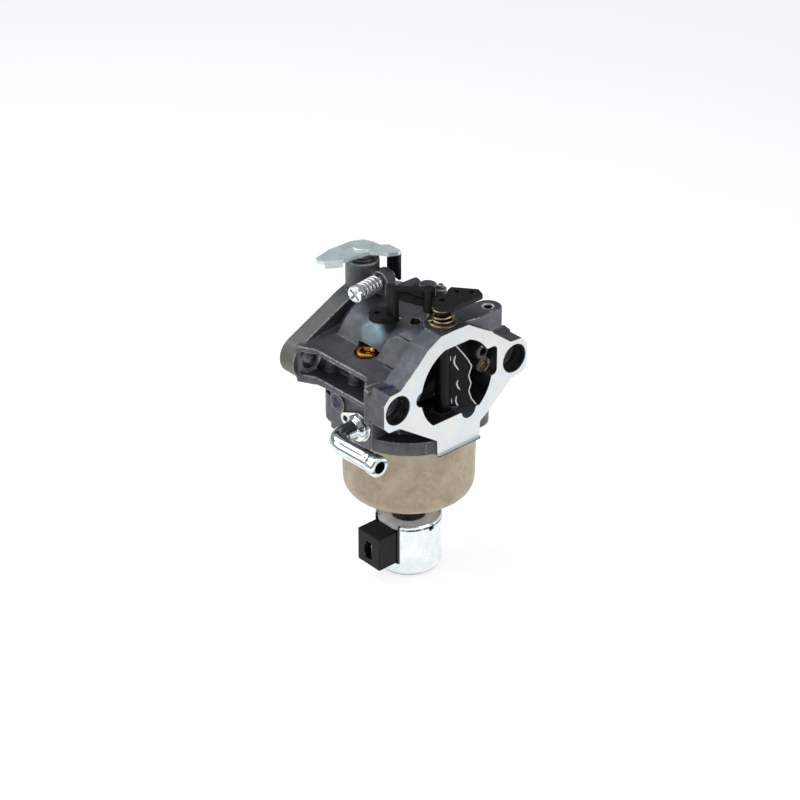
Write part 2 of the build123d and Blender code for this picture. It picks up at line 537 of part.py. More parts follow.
with BuildPart() as choke_plate:
    plate_outline = [(-2.6, 16.4), (3.4, 16.4), (5.4, 13.5), (7.9, 10.3), (9.7, 7.6), (11.1, 4.9),
                     (10.5, 2.9), (9.9, 0.7), (10.9, -2.6), (10.1, -5.9), (11.0, -9.2),
                     (13.4, -12.6), (-2.6, -12.6)]
    slab(choke_frame(-0.8), plate_outline, 1.6)
keep(choke_plate.part, "choke_plate")

with BuildPart() as choke_lever:
    # Plate with two link holes, cut back to its hub beside the relay's pivot
    blade = [(-6.4, -21.2), (-5.6, -24.6), (-1.6, -27.1), (13.2, -27.0), (14.8, -22.8), (8.2, -14.6),
             (5.6, -15.6), (3.0, -17.6), (0, -16.6), (-4.4, -18.4)]
    slab(level(CHOKE_LEVER_Z), [(x, BOWL_Y + y) for x, y in blade], CHOKE_LEVER_T, 0.4)
    rod(level(CHOKE_LEVER_Z, CHOKE_X, CHOKE_Y), 4.2, CHOKE_LEVER_T)
    for hole in ((7.3, -18.8), (11.2, -22.8)):
        rod(level(CHOKE_LEVER_Z - 1, hole[0], BOWL_Y + hole[1]), 1.0, 5, mode=Mode.SUBTRACT)
    rod(level(CHOKE_LEVER_Z + 1.2, CHOKE_X - 0.6, CHOKE_Y), 1.3, 2, mode=Mode.SUBTRACT)
keep(choke_lever.part, "choke_lever")

with BuildPart() as choke_bushing:
    ring(level(CHOKE_BOSS_TOP_Z - 5, CHOKE_X, CHOKE_Y), 4.4, CHOKE_SHAFT_R + RUNNING, 5)
    ring(level(CHOKE_BOSS_TOP_Z, CHOKE_X, CHOKE_Y), 5.7, CHOKE_SHAFT_R + RUNNING, 1.3)
keep(choke_bushing.part, "choke_bushing")

with BuildPart() as choke_spring:
    coil(level(CHOKE_BOSS_TOP_Z + 1.9, CHOKE_X, CHOKE_Y), 3.95, 0.42, 1.2, 5.5)
keep(choke_spring.part, "choke_spring")

with BuildPart() as relay_pivot_pin:
    rod(level(14.5, RELAY_X, RELAY_Y), RELAY_PIN_R, 20)
keep(relay_pivot_pin.part, "relay_pivot_pin")

with BuildPart() as relay_lever:
    arm_dir = (cos(radians(RELAY_ARM_DEG)), sin(radians(RELAY_ARM_DEG)))
    arm_end = (RELAY_X + RELAY_ARM * arm_dir[0], RELAY_Y + RELAY_ARM * arm_dir[1])
    # Hub, web under a narrow flange, and the drop to the paddle
    rod(level(RELAY_HUB_Z, RELAY_X, RELAY_Y), 2.4, RELAY_TOP_Z - RELAY_HUB_Z)
    slab(Plane(origin=(RELAY_X, RELAY_Y, 0), x_dir=(arm_dir[0], arm_dir[1], 0),
               z_dir=(arm_dir[1], -arm_dir[0], 0)),
         [(0, 28.2), (4, 28.4), (9, 29.8), (13.6, 31.6), (13.6, RELAY_TOP_Z), (0, RELAY_TOP_Z)], 0.7)
    bar(level(RELAY_TOP_Z - 1.2), (RELAY_X, RELAY_Y), arm_end, 1.3, 1.3, 1.2)
    bar(level(22.4), arm_end, (arm_end[0] - 0.4, arm_end[1] + 2.2), 1.5, 1.5, RELAY_TOP_Z - 22.4)
    bar(level(21.6), PADDLE, (arm_end[0] - 0.4, arm_end[1] + 0.6), 4.9, 2.0, 2.4)
    rod(level(20, PADDLE[0] - 1.3, PADDLE[1] + 1.2), 1.1, 6, mode=Mode.SUBTRACT)
    rod(level(20, RELAY_X, RELAY_Y), RELAY_PIN_R + RUNNING, 15, mode=Mode.SUBTRACT)
keep(relay_lever.part, "relay_lever")

# ---------------------------------------------------------------- shut-off solenoid
with BuildPart() as bowl_washer:
    ring(level(BOWL_BOTTOM_Z - WASHER_T, 0, BOWL_Y), NECK_R, NECK_NOSE_R, WASHER_T)
keep(bowl_washer.part, "bowl_washer")

with BuildPart() as solenoid_neck:
    rod(level(-63, 0, BOWL_Y), NECK_R, 63 + BOWL_BOTTOM_Z - WASHER_T)
    rod(level(-63, 0, BOWL_Y), NECK_NOSE_R, 12.5)
    rod(level(CAP_Z, 0, BOWL_Y), 6.3, -63 - CAP_Z)
    rod(level(CAN_Z[0] + CAN_WALL, 0, BOWL_Y), 4.2, CAP_Z - CAN_Z[0] - CAN_WALL)
    rod(level(-85, 0, BOWL_Y), PLUNGER_R + RUNNING, 40, mode=Mode.SUBTRACT)
keep(solenoid_neck.part, "solenoid_neck")

with BuildPart() as solenoid_plunger:
    rod(level(-78, 0, BOWL_Y), PLUNGER_R, 26)
    with BuildSketch(level(-52, 0, BOWL_Y)) as cone_base:
        Circle(1.6)
    with BuildSketch(level(-49.7, 0, BOWL_Y)) as cone_end:
        Circle(0.5)
    loft([cone_base.sketch.face(), cone_end.sketch.face()])
keep(solenoid_plunger.part, "solenoid_plunger")

with BuildPart() as plunger_spring:
    coil(level(-84.6, 0, BOWL_Y), 1.8, 0.3, 1.4, 6.2)
keep(plunger_spring.part, "plunger_spring")

with BuildPart() as solenoid_cap:
    ring(level(CAP_Z - CAP_T, 0, BOWL_Y), CAN_R - CAN_WALL, 4.2, CAP_T)
    block((-20, BOWL_Y - CONNECTOR_HALF - 0.1, CAP_Z - 3),
          (-11.9, BOWL_Y + CONNECTOR_HALF + 0.1, CAP_Z + 1), mode=Mode.SUBTRACT)
keep(solenoid_cap.part, "solenoid_cap")

with BuildPart() as coil_bobbin:
    floor_z = CAN_Z[0] + CAN_WALL
    roof_z = CAP_Z - CAP_T
    ring(level(floor_z, 0, BOWL_Y), 5.4, 4.2, roof_z - floor_z)
    for flange_z in (floor_z, roof_z - 1.4):
        ring(level(flange_z, 0, BOWL_Y), 9.0 if flange_z == floor_z else 12.0, 4.2, 1.4)
keep(coil_bobbin.part, "coil_bobbin")

with BuildPart() as coil_winding:
    ring(level(floor_z + 1.4, 0, BOWL_Y), 11.4, 5.4, roof_z - floor_z - 2.8)
    fillet(coil_winding.faces().sort_by(Axis.Z)[0].edges().sort_by(SortBy.RADIUS)[-1], 1.5)
keep(coil_winding.part, "coil_winding")

with BuildPart() as solenoid_can:
    with BuildSketch(bowl_section) as cup:
        with BuildLine():
            FilletPolyline((CAN_R, CAN_Z[1]), (CAN_R, CAN_Z[0]), (0, CAN_Z[0]), radius=3.8)
            offset(amount=-CAN_WALL, side=Side.RIGHT)
        make_face()
    revolve(cup.sketch, axis=bowl_axis)
    block((-20, BOWL_Y - CONNECTOR_HALF - 0.1, CONNECTOR_Z[0] - 0.1), (-8, BOWL_Y + CONNECTOR_HALF + 0.1, -60),
          mode=Mode.SUBTRACT)
    rod(across(BOWL_Y - 8, 0, CAN_Z[1] - 1.4), 1.5, 8, mode=Mode.SUBTRACT)
keep(solenoid_can.part, "solenoid_can")

with BuildPart() as connector_housing:
    block((CONNECTOR_X, BOWL_Y - CONNECTOR_HALF, CONNECTOR_Z[0]),
          (-12.1, BOWL_Y + CONNECTOR_HALF, CONNECTOR_Z[1]))
    fillet(connector_housing.edges(), 0.5)
    block((CONNECTOR_X - 1, BOWL_Y - 1.7, SOCKET_Z[0]), (-14, BOWL_Y + 1.7, SOCKET_Z[1]),
          mode=Mode.SUBTRACT)
    block((CONNECTOR_X - 1, BOWL_Y + 1.6, SOCKET_Z[0] + 2.1), (-14, BOWL_Y + 2.6, SOCKET_Z[1] - 2.1),
          mode=Mode.SUBTRACT)
keep(connector_housing.part, "connector_housing")

with BuildPart() as connector_blade:
    block((CONNECTOR_X + 1.6, BOWL_Y - 0.4, SOCKET_Z[0] + 1), (-14, BOWL_Y + 0.4, SOCKET_Z[1] - 1.8))
    chamfer(connector_blade.faces().sort_by(Axis.X)[0].edges().filter_by(Axis.Z), 0.25)
keep(connector_blade.part, "connector_blade")
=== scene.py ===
"""Looks of the float-bowl carburetor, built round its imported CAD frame.

Every piece is in metres in the row frame: +Y is the air's way out, towards the engine, +Z is up, and
the origin is the centre of the engine flange. Sizes below are in millimetres and go through MM.
"""
import bmesh
import bpy
from math import acos, cos, pi, radians, sin, tan
from mathutils import Matrix, Vector


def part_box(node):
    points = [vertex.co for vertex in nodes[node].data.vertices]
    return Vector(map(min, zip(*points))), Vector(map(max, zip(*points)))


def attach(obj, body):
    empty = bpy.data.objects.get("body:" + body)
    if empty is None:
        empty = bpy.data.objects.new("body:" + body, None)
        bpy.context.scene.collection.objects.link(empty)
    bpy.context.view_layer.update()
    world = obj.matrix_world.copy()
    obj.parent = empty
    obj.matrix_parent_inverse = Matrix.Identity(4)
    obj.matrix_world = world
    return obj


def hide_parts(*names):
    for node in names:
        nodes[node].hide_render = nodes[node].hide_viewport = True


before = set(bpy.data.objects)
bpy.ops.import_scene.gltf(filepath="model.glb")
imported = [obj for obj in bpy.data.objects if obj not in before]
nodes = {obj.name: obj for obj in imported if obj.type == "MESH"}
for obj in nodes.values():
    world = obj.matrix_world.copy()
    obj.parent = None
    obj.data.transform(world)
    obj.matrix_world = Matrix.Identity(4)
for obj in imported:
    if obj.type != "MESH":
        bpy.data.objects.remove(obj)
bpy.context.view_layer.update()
MM = 0.001


def corners(node):
    """A node's box at rest, in millimetres."""
    low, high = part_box(node)
    return Vector(low) / MM, Vector(high) / MM


def axis_of(node):
    """The x and y, in millimetres, of an upright round node's axis."""
    low, high = corners(node)
    return (low.x + high.x) / 2, (low.y + high.y) / 2


# ---- driving places, from the frame
BOWL_X, BOWL_Y = axis_of("float_bowl")
bowl_low, bowl_high = corners("float_bowl")
BOWL_R = (bowl_high.x - bowl_low.x) / 2
body_low, body_high = corners("main_body")
INLET_Y = body_low.y
ENGINE_Y = body_high.y
RING_BOTTOM = bowl_high.z
THROTTLE_X, THROTTLE_Y = axis_of("throttle_bushing")
CHOKE_X, CHOKE_Y = axis_of("choke_bushing")
TOWER_TOP = corners("throttle_spacer")[0].z
JET_X, JET_Y = axis_of("idle_jet")
CAN_X, CAN_Y = axis_of("solenoid_can")
can_low, can_high = corners("solenoid_can")
CAN_R = can_high.y - CAN_Y
STUD_X = 30.0
STUD_R = 3.5
LUG_X, LUG_Y = 20.4, -54.6
LUG_TOP = 24.3
JET_SEAT = corners("idle_jet")[1].z - 2.2
BUSH_FLANGE = 1.3
CHOKE_SEAT = corners("choke_bushing")[1].z - BUSH_FLANGE
AIR_JET_X = 17.6
PORT_X, PORT_Z = 17.0, 6.0
SCOOP_X = 6.3
CHOKE_BORE_R = 18.2
CHOKE_ROOF, CHOKE_FLOOR = 17.1, -13.7
UP, DOWN = Vector((0, 0, 1)), Vector((0, 0, -1))
TO_ENGINE, TO_INLET = Vector((0, 1, 0)), Vector((0, -1, 0))


# ---- materials
class Finish:
    """A material with short ways to add nodes to it. Sizes are in millimetres."""

    def __init__(self, name, colour, metallic=0.0, roughness=0.5):
        self.material = bpy.data.materials.new(name)
        self.material.use_nodes = True
        self.nodes = self.material.node_tree.nodes
        self.links = self.material.node_tree.links
        self.shader = self.nodes["Principled BSDF"]
        self.set(self.shader, "Base Color", (*colour, 1.0))
        self.set(self.shader, "Metallic", metallic)
        self.set(self.shader, "Roughness", roughness)
        self.where = self.nodes.new("ShaderNodeTexCoord")
        self.place = self.vector("SCALE", self.where.outputs["Object"], scale=1 / MM)
        self.height = None

    def set(self, node, socket, value):
        """Link a socket, or set its value."""
        if isinstance(value, bpy.types.NodeSocket):
            self.links.new(value, node.inputs[socket])
        else:
            node.inputs[socket].default_value = value

    def vector(self, operation, a, b=None, scale=None):
        node = self.nodes.new("ShaderNodeVectorMath")
        node.operation = operation
        self.set(node, 0, a)
        if b is not None:
            self.set(node, 1, b)
        if scale is not None:
            node.inputs["Scale"].default_value = scale
        return node.outputs["Value" if operation in ("LENGTH", "DISTANCE", "DOT_PRODUCT") else "Vector"]

    def math(self, operation, a, b=0.0):
        node = self.nodes.new("ShaderNodeMath")
        node.operation = operation
        self.set(node, 0, a)
        self.set(node, 1, b)
        return node.outputs[0]

    def span(self, value, low, high, to_low=0.0, to_high=1.0):
        """A value's share of the way from low to high, held at both ends."""
        node = self.nodes.new("ShaderNodeMapRange")
        node.interpolation_type = "SMOOTHSTEP"
        for socket, given in enumerate((value, low, high, to_low, to_high)):
            self.set(node, socket, given)
        return node.outputs[0]

    def noise(self, size, detail=3.0, rough=0.55, stretch=None, distortion=0.0):
        """Noise with features about so large."""
        node = self.nodes.new("ShaderNodeTexNoise")
        place = self.place
        if stretch:
            place = self.vector("MULTIPLY", place, stretch)
        self.set(node, "Vector", place)
        self.set(node, "Scale", 1 / size)
        self.set(node, "Detail", detail)
        self.set(node, "Roughness", rough)
        self.set(node, "Distortion", distortion)
        return node.outputs["Fac"]

    def patchy(self, size, detail, to_low=0.0, to_high=1.0):
        """Noise in smooth patches, from one value to another."""
        return self.span(self.noise(size, detail), 0.3, 0.7, to_low, to_high)

    def rings(self, size, centre, axis):
        """Fine rings round an axis, as a lathe or a facing cutter leaves."""
        from_centre = self.vector("SUBTRACT", self.place, tuple(centre))
        keep = tuple(0.0 if abs(part) > 0.5 else 1.0 for part in axis)
        reach = self.vector("LENGTH", self.vector("MULTIPLY", from_centre, keep))
        wobble = self.math("MULTIPLY", self.noise(2.0), size * 0.7)
        turns = self.math("DIVIDE", self.math("ADD", reach, wobble), size)
        return self.span(self.math("SINE", self.math("MULTIPLY", turns, 2 * pi)), -1.0, 1.0)

    def part_of(self, letter):
        node = self.nodes.new("ShaderNodeSeparateXYZ")
        self.set(node, 0, self.place)
        return node.outputs[letter]

    def near(self, point, inner, outer):
        """One near a point, falling to nothing at the outer distance, with a ragged edge."""
        reach = self.vector("DISTANCE", self.place, tuple(point))
        ragged = self.math("ADD", reach, self.math("MULTIPLY", self.noise(2.5, 5), outer * 0.5))
        return self.span(ragged, inner + outer * 0.25, outer + outer * 0.25, 1.0, 0.0)

    def facing(self, direction, low, high):
        """One where the surface faces a way of the part's own frame."""
        turned = self.vector("DOT_PRODUCT", self.where.outputs["Normal"], tuple(direction))
        return self.span(turned, low, high)

    def edges(self, low, high):
        """One on convex edges, from how pointed the dense mesh is there."""
        return self.span(self.nodes.new("ShaderNodeNewGeometry").outputs["Pointiness"], low, high)

    def mix(self, factor, a, b):
        node = self.nodes.new("ShaderNodeMix")
        node.data_type = "RGBA"
        self.set(node, "Factor", factor)
        for socket, value in ((6, a), (7, b)):
            if isinstance(value, tuple) and len(value) == 3:
                value = (*value, 1.0)
            self.set(node, socket, value)
        return node.outputs[2]

    def both(self, *masks):
        """Where all of the masks are."""
        made = masks[0]
        for mask in masks[1:]:
            made = self.math("MULTIPLY", made, mask)
        return made

    def tinted(self, base, mask, share, tint):
        """A colour with a tint over it where a mask is, up to a share."""
        return self.mix(self.math("MULTIPLY", mask, share), base, tint)

    def colour(self, value):
        self.set(self.shader, "Base Color", value)

    def roughness(self, value):
        self.set(self.shader, "Roughness", value)

    def bump(self, height, depth):
        """Raise the surface by a height from 0 to 1, so many millimetres deep."""
        node = self.nodes.new("ShaderNodeBump")
        self.set(node, "Height", height)
        self.set(node, "Distance", depth * MM)
        if self.height is not None:
            self.links.new(self.height, node.inputs["Normal"])
        self.height = node.outputs["Normal"]
        self.set(self.shader, "Normal", self.height)


def cast_metal():
    """Die-cast aluminium: dark blue-grey skin, gritty, paler on convex edges from wear and painted highlight, with
    painted shade in creases and a painted reflection on the choke housing's shoulder.
    """
    m = Finish("cast_metal", (0.10, 0.102, 0.108), metallic=0.7)
    blotch = m.patchy(9, 4)
    skin = m.mix(blotch, (0.069, 0.072, 0.078), (0.112, 0.116, 0.123))
    grit = m.span(m.noise(0.5, 4, 0.7), 0.42, 0.72)
    skin = m.tinted(skin, grit, 0.4, (0.19, 0.195, 0.20))
    # The engine flange's rim is paler and a little olive
    rim = m.both(m.span(m.part_of("Y"), -8.6, -7.6), m.facing(TO_INLET, 0.6, 0.3),
                 m.span(m.part_of("Z"), 17.0, 20.0, 1.0, 0.0), m.span(m.part_of("Z"), -14.0, -9.0))
    skin = m.tinted(skin, rim, 0.85, (0.135, 0.135, 0.115))
    # Painted reflection: a bright bluish patch on the choke housing's shoulder, where a soft box would show
    patch = m.both(m.near((-14.5, BOWL_Y + 3.5, 15.5), 4.0, 7.5), m.facing((-0.6, 0, 0.8), 0.55, 0.8))
    skin = m.tinted(skin, patch, 0.8, (0.17, 0.215, 0.235))
    # Paler on convex edges: partly wear, partly a painted highlight
    edge_wear_and_highlight = m.both(m.edges(0.512, 0.545), m.span(m.noise(1.6, 4), 0.28, 0.6))
    skin = m.tinted(skin, edge_wear_and_highlight, 0.8, (0.48, 0.49, 0.50))
    # Painted shade: nearly black in concave creases
    crevice_painted_shade = m.edges(0.488, 0.44)
    skin = m.tinted(skin, crevice_painted_shade, 0.75, (0.018, 0.018, 0.019))
    # Two careless dabs of blue marker ink
    ink = 0.0
    for dab in ((-32.4, -52.8, 7.3), (-31.2, -53.8, 7.3), (-29.8, -54.8, 7.3), (-28.3, -55.2, 7.6),
                (-28.9, -23.8, -13.6), (-28.9, -22.2, -12.2), (-28.9, -22.0, -14.6)):
        ink = m.math("MAXIMUM", ink, m.near(dab, 0.8, 1.7))
    ink = m.both(ink, m.span(m.noise(1.0, 3, distortion=1.5), 0.36, 0.44))
    skin = m.tinted(skin, ink, 0.9, (0.012, 0.013, 0.11))
    m.colour(skin)
    rough = m.patchy(3, 3, 0.40, 0.54)
    # Glossier under the painted reflection patch
    m.roughness(m.math("SUBTRACT", rough, m.math("MULTIPLY", patch, 0.06)))
    m.bump(m.noise(1.8, 3), 0.05)
    m.bump(m.noise(0.28, 4, 0.7), 0.02)
    return m.material


def faced_metal():
    """A face cut flat by a milling cutter: near white, with broad arcs, faint tints and scratches."""
    m = Finish("faced_metal", (0.86, 0.88, 0.89), metallic=0.75, roughness=0.34)
    tint = m.mix(m.span(m.noise(11, 3), 0.35, 0.65), (0.70, 0.755, 0.80), (0.78, 0.785, 0.75))
    scratch = m.span(m.noise(0.35, 3, 0.6, stretch=(1.0, 1.0, 0.08)), 0.62, 0.75)
    tint = m.tinted(tint, scratch, 0.5, (0.5, 0.52, 0.53))
    fleck = m.span(m.noise(0.7, 4, 0.7), 0.6, 0.74)
    tint = m.tinted(tint, fleck, 0.4, (0.42, 0.43, 0.42))
    marks = m.rings(0.34, (90, 0, -40), TO_ENGINE)
    tint = m.tinted(tint, marks, 0.08, (0.6, 0.62, 0.66))
    cloud = m.span(m.noise(7, 5, 0.6, distortion=0.8), 0.5, 0.72)
    tint = m.tinted(tint, cloud, 0.5, (0.66, 0.69, 0.70))
    high = m.span(m.part_of("Z"), -4.0, 22.0)
    tint = m.tinted(tint, high, 0.35, (0.60, 0.61, 0.60))
    m.colour(tint)
    m.roughness(m.patchy(4, 4, 0.30, 0.44))
    m.bump(marks, 0.008)
    m.bump(m.noise(0.4, 3), 0.008)
    return m.material


def bored_metal():
    """Turned and drilled holes, smoked inside and darkened with painted deep shade."""
    m = Finish("bored_metal", (0.09, 0.09, 0.085), metallic=0.8)
    smoke_and_painted_shade = m.mix(m.span(m.noise(3, 4), 0.35, 0.65), (0.05, 0.05, 0.048), (0.13, 0.13, 0.12))
    m.colour(smoke_and_painted_shade)
    m.roughness(m.patchy(1.2, 3, 0.3, 0.5))
    m.bump(m.noise(0.3, 3, stretch=(1.0, 4.0, 1.0)), 0.015)
    return m.material


def pocket_metal(name, colour, dark):
    """Cast metal in the shade of the passage, oily and a little olive."""
    m = Finish(name, colour, metallic=0.55)
    m.colour(m.mix(m.patchy(3, 4), colour, dark))
    m.roughness(m.patchy(2, 3, 0.32, 0.5))
    m.bump(m.noise(0.6, 3), 0.02)
    return m.material


def passage_metal():
    """The air passage: almost black, partly soot and oil, partly painted shade."""
    m = Finish("passage_metal", (0.02, 0.019, 0.019), metallic=0.3)
    soot_and_painted_shade = m.mix(m.patchy(5, 4), (0.010, 0.009, 0.009), (0.035, 0.033, 0.033))
    # Painted light: a lit bluish patch of wall in the throat, behind the choke shaft
    painted_lit_wall = m.both(m.span(m.part_of("Y"), -50.0, -46.0), m.span(m.part_of("Z"), -3.0, 0.0))
    soot_and_painted_shade = m.tinted(soot_and_painted_shade, painted_lit_wall, 0.9, (0.24, 0.28, 0.36))
    m.colour(soot_and_painted_shade)
    m.roughness(m.patchy(2, 3, 0.3, 0.55))
    m.bump(m.noise(0.7, 3), 0.02)
    return m.material


def bowl_coating():
    """Yellow-grey chromate on drawn steel: satin, mottled and speckled."""
    m = Finish("bowl_coating", (0.40, 0.33, 0.23), metallic=0.35, roughness=0.38)
    cloud = m.mix(m.span(m.noise(12, 5, distortion=0.6), 0.3, 0.7), (0.33, 0.262, 0.18), (0.45, 0.37, 0.262))
    speck = m.span(m.noise(0.9, 4, 0.7), 0.5, 0.75)
    cloud = m.tinted(cloud, speck, 0.4, (0.5, 0.44, 0.33))
    dark = m.span(m.noise(1.7, 4, 0.6), 0.58, 0.75)
    cloud = m.tinted(cloud, dark, 0.5, (0.17, 0.125, 0.08))
    stain = m.span(m.noise(4.5, 5, 0.6, distortion=1.2), 0.52, 0.7)
    cloud = m.tinted(cloud, stain, 0.45, (0.25, 0.19, 0.125))
    # Painted highlight: a paler band round the bottom corner
    low = m.span(m.part_of("Z"), bowl_low.z + 5.2, bowl_low.z + 1.6)
    cloud = m.tinted(cloud, low, 0.25, (0.5, 0.45, 0.36))
    m.colour(cloud)
    m.roughness(m.patchy(2.2, 4, 0.34, 0.5))
    m.bump(m.noise(0.35, 4, 0.7), 0.012)
    m.bump(m.noise(6, 2), 0.04)
    return m.material


def zinc(name, colour, roughness, streak=0.25, metallic=0.9):
    """Bright zinc plate, with clouds, fine drawn streaks and small pits."""
    m = Finish(name, colour, metallic=metallic)
    dull = tuple(part * 0.78 for part in colour)
    cloud = m.mix(m.math("MULTIPLY", m.span(m.noise(5, 4), 0.35, 0.7), 0.6), colour, dull)
    pits = m.span(m.noise(0.6, 4, 0.7), 0.66, 0.78)
    cloud = m.tinted(cloud, pits, streak, (0.35, 0.37, 0.37))
    m.colour(cloud)
    m.roughness(m.patchy(2.4, 4, roughness, roughness + 0.14))
    m.bump(m.noise(0.5, 3, stretch=(1, 1, 0.15)), 0.006)
    m.bump(m.noise(3.0, 2), 0.03)
    return m.material


def can_plate():
    """The can's bright plate, with dark lines just inside its rim and beside its window, and a painted shadow at its
    foot.
    """
    m = Finish("can_plate", (0.86, 0.92, 0.93), metallic=0.85)
    cloud = m.mix(m.span(m.noise(5, 4), 0.35, 0.7), (0.93, 0.975, 0.98), (0.82, 0.88, 0.89))
    high = m.part_of("Z")
    rim = m.both(m.span(high, can_high.z - 2.3, can_high.z - 1.8), m.span(high, can_high.z - 1.0, can_high.z - 1.3),
                 m.span(m.noise(2.5, 3), 0.36, 0.5, 0.4, 1.0))
    # Painted shadow: dark at the foot, where the plate curves under
    foot_painted_shadow = m.span(high, can_low.z + 2.6, can_low.z + 0.6)
    window_low, window_high = corners("connector_housing")
    wide = window_high.y - CAN_Y
    across = m.math("ABSOLUTE", m.math("SUBTRACT", m.part_of("Y"), CAN_Y))
    jamb = m.both(m.span(across, wide + 1.1, wide + 0.7), m.span(m.part_of("X"), -8.0, -9.0),
                  m.span(high, window_low.z - 0.7, window_low.z - 0.4))
    dark = m.math("MAXIMUM", m.math("MAXIMUM", rim, jamb), m.math("MULTIPLY", foot_painted_shadow, 0.75))
    m.colour(m.mix(dark, cloud, (0.05, 0.055, 0.058)))
    m.roughness(m.patchy(2.4, 4, 0.2, 0.34))
    m.bump(m.noise(0.5, 3, stretch=(1, 1, 0.15)), 0.006)
    m.bump(m.noise(4.0, 2), 0.04)
    return m.material


def tube_plate():
    """Mirror-bright plate on the fuel elbow, with painted dark and olive reflection bands along its bends, placed by
    which way the surface faces.
    """
    m = Finish("tube_plate", (0.80, 0.85, 0.83), metallic=1.0)
    cloud = m.mix(m.span(m.noise(4, 4), 0.35, 0.7), (0.82, 0.87, 0.86), (0.62, 0.68, 0.66))
    wander = m.math("MULTIPLY", m.noise(6, 2), 0.16)
    # Painted reflections: bands set by the surface's tilt
    for low, high, shade in ((0.52, 0.66, (0.16, 0.165, 0.12)), (0.05, 0.15, (0.05, 0.055, 0.06))):
        tilt = m.math("ADD", m.vector("DOT_PRODUCT", m.where.outputs["Normal"], (-0.25, 0.0, 0.97)), wander)
        line = m.both(m.span(tilt, low, low + 0.04), m.span(tilt, high, high - 0.04))
        cloud = m.tinted(cloud, line, 0.85, shade)
    m.colour(cloud)
    m.roughness(m.patchy(2.4, 4, 0.08, 0.2))
    m.bump(m.noise(3.0, 2), 0.03)
    return m.material


def metal(name, colour, dark, roughness, size=1.0, metallic=1.0):
    """A plain bare metal with blotches, grain and uneven gloss."""
    m = Finish(name, colour, metallic=metallic)
    blotch = m.patchy(size * 3, 4)
    m.colour(m.mix(blotch, colour, dark))
    m.roughness(m.patchy(size, 4, roughness, roughness + 0.15))
    m.bump(m.noise(size * 0.4, 3, 0.6), 0.008)
    return m.material


def moulded(name, colour, pale, roughness, grain=0.35):
    """Moulded plastic or rubber: fine grain, rubbed paler in places."""
    m = Finish(name, colour)
    m.set(m.shader, "Specular IOR Level", 0.16)
    rub = m.span(m.noise(2.2, 5, 0.6), 0.45, 0.75)
    m.colour(m.tinted(colour, rub, 0.6, pale))
    m.roughness(m.patchy(1.2, 3, roughness, roughness + 0.16))
    m.bump(m.noise(grain, 3, 0.6), 0.012)
    return m.material


def wound_wire():
    """Fine enamelled copper wire wound in layers, under a film."""
    m = Finish("wound_wire", (0.35, 0.12, 0.04), metallic=0.7, roughness=0.35)
    turns = m.math("SINE", m.math("MULTIPLY", m.part_of("Z"), 2 * pi / 0.35))
    m.colour(m.mix(m.span(turns, -1.0, 1.0), (0.2, 0.06, 0.02), (0.45, 0.17, 0.06)))
    m.bump(m.span(turns, -1.0, 1.0), 0.05)
    return m.material


CAST = cast_metal()
FACED = faced_metal()
BORED = bored_metal()
POCKET = pocket_metal("pocket_metal", (0.085, 0.08, 0.068), (0.05, 0.048, 0.042))
BOSS = pocket_metal("boss_metal", (0.105, 0.107, 0.094), (0.06, 0.062, 0.053))
SAWN = pocket_metal("sawn_metal", (0.125, 0.129, 0.137), (0.088, 0.091, 0.098))
SCOOP = pocket_metal("scoop_metal", (0.24, 0.29, 0.31), (0.17, 0.21, 0.23))
PASSAGE = passage_metal()
COATING = bowl_coating()
LEVER_ZINC = zinc("lever_zinc", (0.80, 0.90, 0.89), 0.34, 0.25, 0.7)
CAN_ZINC = can_plate()
CAP_ZINC = zinc("cap_zinc", (0.93, 0.96, 0.96), 0.25, 0.12, 0.15)
TUBE_ZINC = tube_plate()
CHROME = zinc("screw_zinc", (0.86, 0.88, 0.88), 0.14)
# Dark colour for the lever's hanging tab: painted shade
TAB_PAINTED_SHADE = metal("lever_tab_painted_shade", (0.035, 0.037, 0.06), (0.018, 0.018, 0.03), 0.25, 1.0, 0.8)
STEEL = metal("shaft_steel", (0.38, 0.36, 0.33), (0.25, 0.235, 0.21), 0.3)
DARK_STEEL = metal("neck_steel", (0.055, 0.052, 0.048), (0.025, 0.023, 0.021), 0.24, 1.0, 0.8)
SLEEVE = metal("sleeve_metal", (0.27, 0.25, 0.225), (0.17, 0.155, 0.14), 0.35)
BUSHING = metal("bushing_metal", (0.30, 0.24, 0.17), (0.17, 0.13, 0.09), 0.35)
GOLD_WIRE = metal("gold_wire", (0.55, 0.47, 0.27), (0.32, 0.26, 0.13), 0.22, 0.5)
AMBER = metal("amber_brass", (0.75, 0.36, 0.06), (0.42, 0.15, 0.02), 0.16, 0.8)
COPPER = metal("copper_brass", (0.72, 0.33, 0.13), (0.4, 0.15, 0.05), 0.2, 0.5)
BRASS = metal("yellow_brass", (0.68, 0.52, 0.22), (0.42, 0.3, 0.11), 0.22, 0.5)
BLACK = moulded("black_plastic", (0.008, 0.007, 0.007), (0.02, 0.018, 0.018), 0.3)
CONNECTOR = moulded("connector_plastic", (0.010, 0.0085, 0.008), (0.02, 0.017, 0.016), 0.38)
PLATE_BLACK = moulded("plate_black", (0.003, 0.003, 0.0035), (0.008, 0.0075, 0.008), 0.26)
# Pale ridges and edge bead on the choke plate: painted highlight
RIDGE_PAINTED_HIGHLIGHT = moulded("ridge_painted_highlight", (0.72, 0.73, 0.75), (0.85, 0.86, 0.88), 0.3)
RUBBER = moulded("black_rubber", (0.016, 0.016, 0.016), (0.03, 0.03, 0.03), 0.6)
FLOAT = moulded("float_plastic", (0.03, 0.03, 0.03), (0.06, 0.06, 0.06), 0.5)
FIBRE = moulded("fibre_washer", (0.10, 0.05, 0.035), (0.16, 0.09, 0.06), 0.6)
WIRE = wound_wire()


